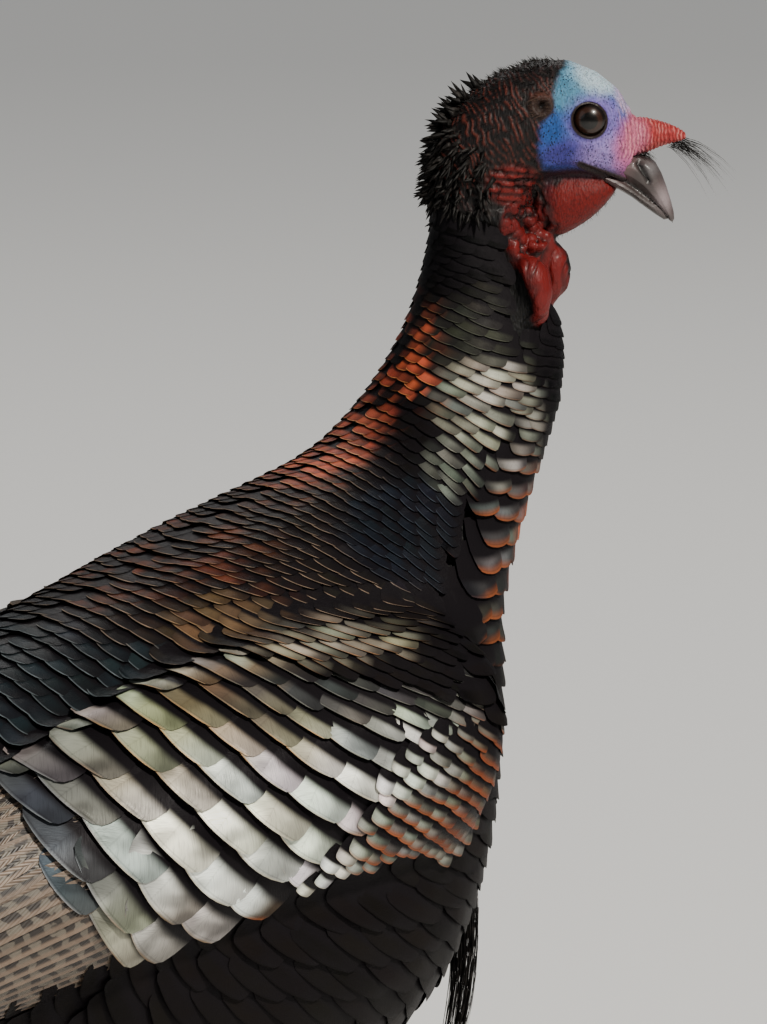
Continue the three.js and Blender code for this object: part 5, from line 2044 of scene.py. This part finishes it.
@dataclass(frozen=True)
class Tail:
    """The closed tail and the coverts over and under its root."""

    root: Triple = (-338.0, 0.0, 458.0)
    pitch: float = math.radians(25.0)
    length: float = 371.0
    base_half: float = 34.0
    tip_half: float = 82.0
    arch: float = 20.0
    feather_half: tuple[float, float] = (11.0, 25.0)
    count: int = 18

    def place(self, along: Array, across: Array, up: Array) -> Array:
        """Places given along, across and above the tail's plane."""
        c, s = math.cos(self.pitch), math.sin(self.pitch)
        x = self.root[0] - c * along + s * up
        return np.stack([x, np.broadcast_to(across, x.shape), self.root[2] - s * along + c * up], axis=-1)

    def half(self, t: Array) -> Array:
        """Half of the tail's width at shares of its length."""
        return self.base_half + (self.tip_half - self.base_half) * np.clip(t, 0.0, 1.0) ** 0.85

    def roof(self, t: Array, across: Array) -> tuple[Array, Array]:
        """How far the arch drops, and how steeply, at places of the tail."""
        share = 0.5 + 0.5 * np.clip(t, 0.0, 1.0)
        place = across / self.half(t)
        return self.arch * place**2 * share, 2.0 * self.arch * place * share / self.half(t)

    def normal(self, slope: Array, sign: float) -> Array:
        """Normals of the arch, up for a sign of 1 and down for -1."""
        c, s = math.cos(self.pitch), math.sin(self.pitch)
        up = np.stack([np.full(slope.shape, s), slope, np.full(slope.shape, c)], axis=-1)
        return unit(up) * sign

    def rectrices(self, quills: Quills) -> Piece:
        """The long tail feathers, the middle pair on top."""
        lateral = np.linspace(-1.0, 1.0, self.count)[:, None]
        t = np.broadcast_to(QUILL_ALONG, (self.count, len(QUILL_ALONG)))
        centre = self.half(t) - (self.feather_half[0] + np.diff(self.feather_half) * t)
        across = lateral * centre
        drop, slope = self.roof(t, across)
        thick = 13.0 + (3.4 - 13.0) * t**0.7
        up = (0.5 - np.abs(lateral)) * thick - drop
        along = self.length * t * (1.0 - 0.045 * lateral**2)
        middle, normal = self.place(along, across, up), self.normal(slope, 1.0)
        tints = np.ones((self.count, 4))
        tints[:, 3] = 0.0
        half = np.full(self.count, self.feather_half[1])
        return quills.piece("tail_feathers", middle, normal, half, tints)

    def coverts(self, quills: Quills, name: str, sign: float) -> Piece:
        """The rows of coverts over the tail's root, or under it for a sign of -1."""
        rows = 6 if sign > 0 else 5
        reach = 170.0 if sign > 0 else 125.0
        middles, normals, halves, shares = [], [], [], []
        for row in range(rows - 1, -1, -1):
            start = -24.0 + (reach - 84.0) * row / (rows - 1)
            wide = 34.0 - 1.5 * row
            spots = np.arange(-wide, wide + 1.0, 15.0) + (7.0 if row % 2 else 0.0)
            along = start + 104.0 * QUILL_ALONG[None] * np.ones((len(spots), 1))
            t = along / self.length
            across = spots[:, None] * (1.0 + 0.25 * QUILL_ALONG[None])
            drop, slope = self.roof(t, across)
            share = np.clip(0.16 + 0.76 * (along + 30.0) / (reach + 30.0), 0.02, 0.98)
            taper = np.sin(math.pi * share) ** 0.6
            lift = 5.0 + 10.0 * taper - 0.035 * np.abs(spots[:, None]) * 4.0 + 0.9 * (rows - row) - 1.5
            up = sign * lift * (0.72 + 0.28 * QUILL_ALONG[::-1]) - drop
            middles.append(self.place(along, across, up))
            normals.append(self.normal(slope, sign))
            halves.append(np.full(len(spots), 14.0))
            shares.append(np.full(len(spots), row / rows))
        middle, normal, half, share = (np.concatenate(p) for p in (middles, normals, halves, shares))
        tints = np.column_stack([np.ones((len(half), 3)), share])
        return quills.piece(name, middle, normal, half, tints, 0.3)


class Bars(Enum):
    """How a quill is marked."""

    TAIL = "tail"
    COVERT = "tail_covert"
    SECONDARY = "secondary"
    PRIMARY = "primary"


@dataclass(frozen=True)
class QuillFinish:
    """A barred vane with a pale shaft, and with a band and a tip where the tail has them."""

    kind: Bars
    ground: str
    bar: str
    count: float
    band: str
    tip: str

    def build(self) -> Material:
        """Makes the material."""
        finish = Finish(f"quill_{self.kind.value}")
        across, along = finish.vane()
        off = (across * 2.0 - 1.0).math("ABSOLUTE")
        tint = finish.attribute("Sheen")
        place = finish.place()
        wobble = finish.noise(place, 130.0, 3.0)
        fine = finish.noise(finish.place(1.0, (1.0, 1.0, 1.0)), 420.0, 2.0)
        wave = (along * self.count + off * 0.5 + wobble * 1.3) * TURN
        bars = (wave.math("SINE") * 0.5 + 0.5).rise(0.42, 0.72)
        colour = finish.blend(linear(self.ground), linear(self.bar), bars * (0.62 + fine * 0.5))
        end = along + off * off * 0.045
        if self.kind in (Bars.TAIL, Bars.COVERT):
            low, high = (0.80, 0.90) if self.kind is Bars.TAIL else (0.72, 0.86)
            band = end.rise(low, low + 0.03) * (1.0 - end.rise(high, high + 0.02))
            colour = colour.mix(linear(self.band), band)
            colour = colour.mix(linear(self.tip), end.rise(high + 0.012, high + 0.035))
        else:
            colour = colour.mix(linear(self.tip), off.rise(0.80, 0.92) * 0.85)
        colour = colour.mix(linear("6b5a48"), (1.0 - off.rise(0.03, 0.07)) * 0.7)
        colour = colour.mix(tint, 1.0, "MULTIPLY")
        barbs = (along * 260.0 - off * 60.0).math("SINE")
        bump = finish.bump(barbs, 0.00006)
        return finish.close(colour, 0.42 + fine * 0.15, Metallic=0.15, Normal=bump)


QUILL_FINISHES = {
    Bars.TAIL: QuillFinish(Bars.TAIL, "4a2c1c", "15100e", 44.0, "0a0808", "8a5a34"),
    Bars.COVERT: QuillFinish(Bars.COVERT, "2e1d16", "0f0c0b", 14.0, "120c0a", "7a4424"),
    Bars.SECONDARY: QuillFinish(Bars.SECONDARY, "231d19", "5c554b", 17.0, "000000", "6b5a4c"),
    Bars.PRIMARY: QuillFinish(Bars.PRIMARY, "12100f", "8a867c", 24.0, "000000", "25211e"),
}


# ---- eyes, bill, claws
class Eyes:
    """The two wet eyeballs."""

    pupil = 4.1
    iris = 6.4

    def build(self) -> list[Piece]:
        """Makes both."""
        pieces = []
        for label, side in SIDES.items():
            form = bmesh.new()
            bmesh.ops.create_uvsphere(form, u_segments=64, v_segments=40, radius=1.0)
            own = np.array([v.co for v in form.verts])
            turned = own[:, [0, 2, 1]] * (1.0, 1.0, -1.0)
            straight = turned * (FACE.ball, FACE.ball * FACE.flatness, FACE.ball)
            straight = straight + (FACE.eye[0], side * FACE.eye[1], FACE.eye[2])
            points = CARRIAGE.turned(straight, np.ones(len(own)))
            for vertex, point in zip(form.verts, to_frame(points).tolist()):
                vertex.co = point
            piece = shown(form, f"eyeball_{label}")
            mesh = piece.data
            mesh.polygons.foreach_set("use_smooth", np.ones(len(mesh.polygons), bool))
            off = np.hypot(turned[:, 0], turned[:, 2]) * FACE.ball
            hue = np.tile(linear("0c0706"), (len(own), 1))
            ring = smoothstep(off, self.pupil - 0.3, self.pupil + 0.3)
            wash(hue, ring * smoothstep(off, self.iris + 0.4, self.iris - 0.4), "24130c")
            hue *= np.where(off < self.pupil, 0.15, 1.0)[:, None]
            paint(mesh, "Hue", hue)
            pieces.append(piece)
        return pieces

    @staticmethod
    def finish() -> Material:
        """A clear wet coat over a dark iris."""
        finish = Finish("eye")
        hue = finish.attribute("Hue")
        streaks = finish.noise(finish.place(), 700.0, 2.0)
        colour = hue.mix((0.05, 0.03, 0.02, 1.0), streaks.rise(0.5, 0.8) * 0.15)
        return finish.close(colour, 0.3, Coat_Weight=0.32, Coat_Roughness=0.06, IOR=1.3)


class Horn:
    """The bill, claws and spurs: smooth horn, finer than the solids they stand for."""

    slit = ((130.6, 749.4), (135.4, 741.0))  # the nostril's line, as x and z
    mouth = ((113, 746), (123, 741.7), (131, 736.3), (138, 730), (143.4, 724))

    def bill(self) -> Piece:
        """The closed bill, the upper half a little over the lower one, with its nostrils; a pale spot near
        the tip is a painted highlight, and the nostrils and mouth line carry painted shade.
        """
        surface = Surface(*fused(*swollen(["bill_upper", "bill_lower"], 1.0), 0.55))
        surface.relax(4)
        surface.points = surface.points - 0.55 * surface.normals()
        straight = CARRIAGE.turned(surface.points, -np.ones(len(surface.points)))
        x, z = straight[:, 0], straight[:, 2]
        above = z - np.interp(x, *np.array(self.mouth).T)
        under = smoothstep(above, 0.4, -0.6) * smoothstep(x, 142.0, 140.0)
        _, far = off_line(straight, self.slit)
        lid = np.linalg.norm(straight[:, ::2] - (136.6, 747.0), axis=1)
        side = smoothstep(np.abs(straight[:, 1]), 1.2, 3.0)
        push = side * (0.7 * bell(lid, 3.4) - 1.9 * bell(far, 1.35))
        closed = smoothstep(x, 144.0, 141.0) * bell(above, 0.45)
        push = push - 0.35 * under - 0.35 * closed
        tuck = smoothstep(above, 0.4, -0.6) * smoothstep(x, 145.0, 143.0) * smoothstep(x, 130.0, 141.0)
        straight[:, 0] += 4.6 * tuck
        straight[:, 2] -= 2.4 * tuck
        surface.points = straight
        straight = straight + surface.normals() * push[:, None]
        points = CARRIAGE.turned(straight, np.ones(len(straight)))
        piece = mesh_object("bill_horn", points, surface.faces)
        hue = np.tile(linear("342b2a"), (len(x), 1))
        profile = straight[:, ::2]
        wash(hue, 0.7 * smoothstep(x - 0.4 * (z - 740.0), 130.0, 117.0), "6a4e50")
        wash(hue, 0.8 * bell(far_from(profile, (136.8, 746.5), (1.0, 1.0)), 3.6), "585557")
        # painted highlight: a pale spot near the tip
        wash(hue, 0.7 * bell(far_from(profile, (143.0, 732.0), (1.0, 1.5)), 4.6), "8a7d80")
        wash(hue, 0.6 * under, "2a2322")
        # painted shade in the nostrils and along the closed mouth line
        hue *= (1.0 - 0.95 * bell(far, 1.6) * side)[:, None] * (1.0 - 0.6 * closed)[:, None]
        paint(piece.data, "Hue", hue)
        return piece

    def fine(self, node: str) -> Piece:
        """A claw or spur, rounded off."""
        surface = Surface(*fused(*swollen([node], 0.15), 0.6))
        surface.relax(6)
        piece = mesh_object(f"{node}_horn", surface.points, surface.faces)
        shade = 0.8 + 0.2 * ripple(surface.points, 9.0, 5, 2)
        paint(piece.data, "Hue", linear("2a2322") * shade[:, None])
        return piece

    @staticmethod
    def finish() -> Material:
        """Polished horn with fine growth lines."""
        finish = Finish("horn")
        hue = finish.attribute("Hue")
        lines = finish.noise(finish.place(1.0, (1.0, 1.0, 2.2)), 420.0, 3.0)
        colour = hue.mix((0.02, 0.015, 0.015, 1.0), lines.rise(0.5, 0.8) * 0.4)
        bump = finish.bump(lines, 0.00025, 0.6)
        return finish.close(colour, 0.4 + lines * 0.15, Normal=bump, Coat_Weight=0.08)


def bristle_finish(kind: str, colour: str) -> Material:
    """A plain finish for stiff dark hair, a little lighter in streaks."""
    finish = Finish(f"bristle_{kind}")
    streak = finish.noise(finish.place(), 300.0, 2.0).rise(0.45, 0.75)
    shade = finish.blend((*linear(colour), 1.0), (0.06, 0.05, 0.045, 1.0), streak * 0.3)
    return finish.close(shade, 0.58, Specular_IOR_Level=0.16)


# ---- the set
@dataclass(frozen=True)
class Stage:
    """The floor, the lights and the camera."""

    aim: Triple = (0.0, 0.0, 585.0)
    azimuth: float = math.radians(-32.0)
    elevation: float = math.radians(10.0)
    distance: float = 5.5
    lens: float = 406.0
    floor: float = 12.0

    def build(self) -> None:
        """Makes them all."""
        form = bmesh.new()
        bmesh.ops.create_grid(form, x_segments=8, y_segments=8, size=self.floor)
        floor = shown(form, "floor")
        finish = Finish("floor")
        colour = (0.8, 0.79, 0.77, 1.0)
        glow = {"Emission_Color": colour, "Emission_Strength": 0.22}
        floor.data.materials.append(finish.close(colour, 0.9, **glow))
        self.camera()
        self.lights()

    def put(self, name: str, data: Any, azimuth: float, elevation: float, distance: float) -> Piece:
        """Adds a camera or lamp that looks at the aim from an azimuth, elevation and distance."""
        piece = bpy.data.objects.new(name, data)
        bpy.context.scene.collection.objects.link(piece)
        flat = math.cos(elevation)
        away = Vector((math.sin(azimuth) * flat, -math.cos(azimuth) * flat, math.sin(elevation)))
        piece.location = Vector(to_frame(np.array([self.aim]))[0]) + away * distance
        piece.rotation_euler = (-away).to_track_quat("-Z", "Y").to_euler()
        return piece

    def camera(self) -> None:
        """A long lens that frames the bird from its beak to the middle of its wing."""
        data = bpy.data.cameras.new("camera")
        data.sensor_width = 36.0
        data.lens = self.lens
        data.clip_end = 100.0
        camera = self.put("camera", data, self.azimuth, self.elevation, self.distance)
        bpy.context.scene.camera = camera

    def lights(self) -> None:
        """A hard key from high on the right, wide soft lamps, and a pale sky."""
        lamps = (
            ("key", 2.0, 43.0, 4.0, 0.5, 285.0, (1.0, 0.95, 0.86)),
            ("fill", -80.0, 25.0, 5.0, 4.0, 24.0, (0.9, 0.95, 1.0)),
            ("rim", 150.0, 35.0, 4.5, 2.0, 46.0, (1.0, 0.98, 0.95)),
        )
        for name, azimuth, elevation, distance, size, power, colour in lamps:
            data = bpy.data.lights.new(name, "AREA")
            data.shape = "DISK"
            data.size = size
            data.energy = power
            data.color = colour
            self.put(name, data, math.radians(azimuth), math.radians(elevation), distance)
        world = bpy.data.worlds.new("sky")
        world.use_nodes = True
        sky = world.node_tree.nodes["Background"].inputs
        sky["Color"].default_value = (0.9, 0.95, 1.0, 1.0)
        sky["Strength"].default_value = 0.14
        bpy.context.scene.world = world


def settle(
    piece: Piece, finish: Material, slot: str, *nodes: str
) -> None:
    """Gives a piece its finish and its body, and hides the nodes that it stands for."""
    piece.data.materials.append(finish)
    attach(piece, "root")
    if nodes:
        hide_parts(*nodes)


def dress_head() -> None:
    """The skin, the eyes, the bill and the bristles."""
    skin = Skin().build()
    settle(skin, SkinFinish().build(), "head_skin", *FLESH)
    eye_finish = Eyes.finish()
    for piece, side in zip(Eyes().build(), SIDES):
        settle(piece, eye_finish, "eye", f"eye_{side}")
    horn = Horn()
    horn_finish = Horn.finish()
    settle(horn.bill(), horn_finish, "horn", "bill_upper", "bill_lower")
    for side in SIDES:
        for node in (*(f"claw_{toe}_{side}" for toe in TOES), f"spur_{side}"):
            settle(horn.fine(node), horn_finish, "horn", node)
    black = bristle_finish("black", "0a0807")
    brown = bristle_finish("brown", "4a3a30")
    for piece in HeadBristles(skin).build():
        settle(piece, brown if "ears" in piece.name else black, "bristle")
    settle(Beard().build(), black, "bristle", "beard")


def dress_quills() -> None:
    """The long feathers of the wings and the tail."""
    quills, tail = Quills(), Tail()
    finishes = {kind: finish.build() for kind, finish in QUILL_FINISHES.items()}
    for piece in Wing().build(quills):
        kind = Bars.SECONDARY if piece.name.startswith("secondaries") else Bars.PRIMARY
        nodes = [f"wing_{piece.name.split('_')[1]}"] if kind is Bars.SECONDARY else []
        settle(piece, finishes[kind], "wing_plumage", *nodes)
    settle(tail.rectrices(quills), finishes[Bars.TAIL], "tail_plumage", "tail")
    for name, sign in (("tail_coverts_upper", 1.0), ("tail_coverts_lower", -1.0)):
        piece = tail.coverts(quills, f"{name}_feathers", sign)
        settle(piece, finishes[Bars.COVERT], "tail_plumage", name)


def main() -> None:
    logging.basicConfig(level=logging.INFO, format="%(name)s %(message)s")
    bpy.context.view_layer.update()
    Stage().build()
    dress_head()
    dress_quills()
    feather = FeatherFinish().build()
    for piece in Plumage(Form()).build():
        slot = "wing_plumage" if piece.name.startswith(("coverts", "lesser")) else "body_plumage"
        settle(piece, feather, slot)


if __name__ == "__main__":
    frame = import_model()
    main()
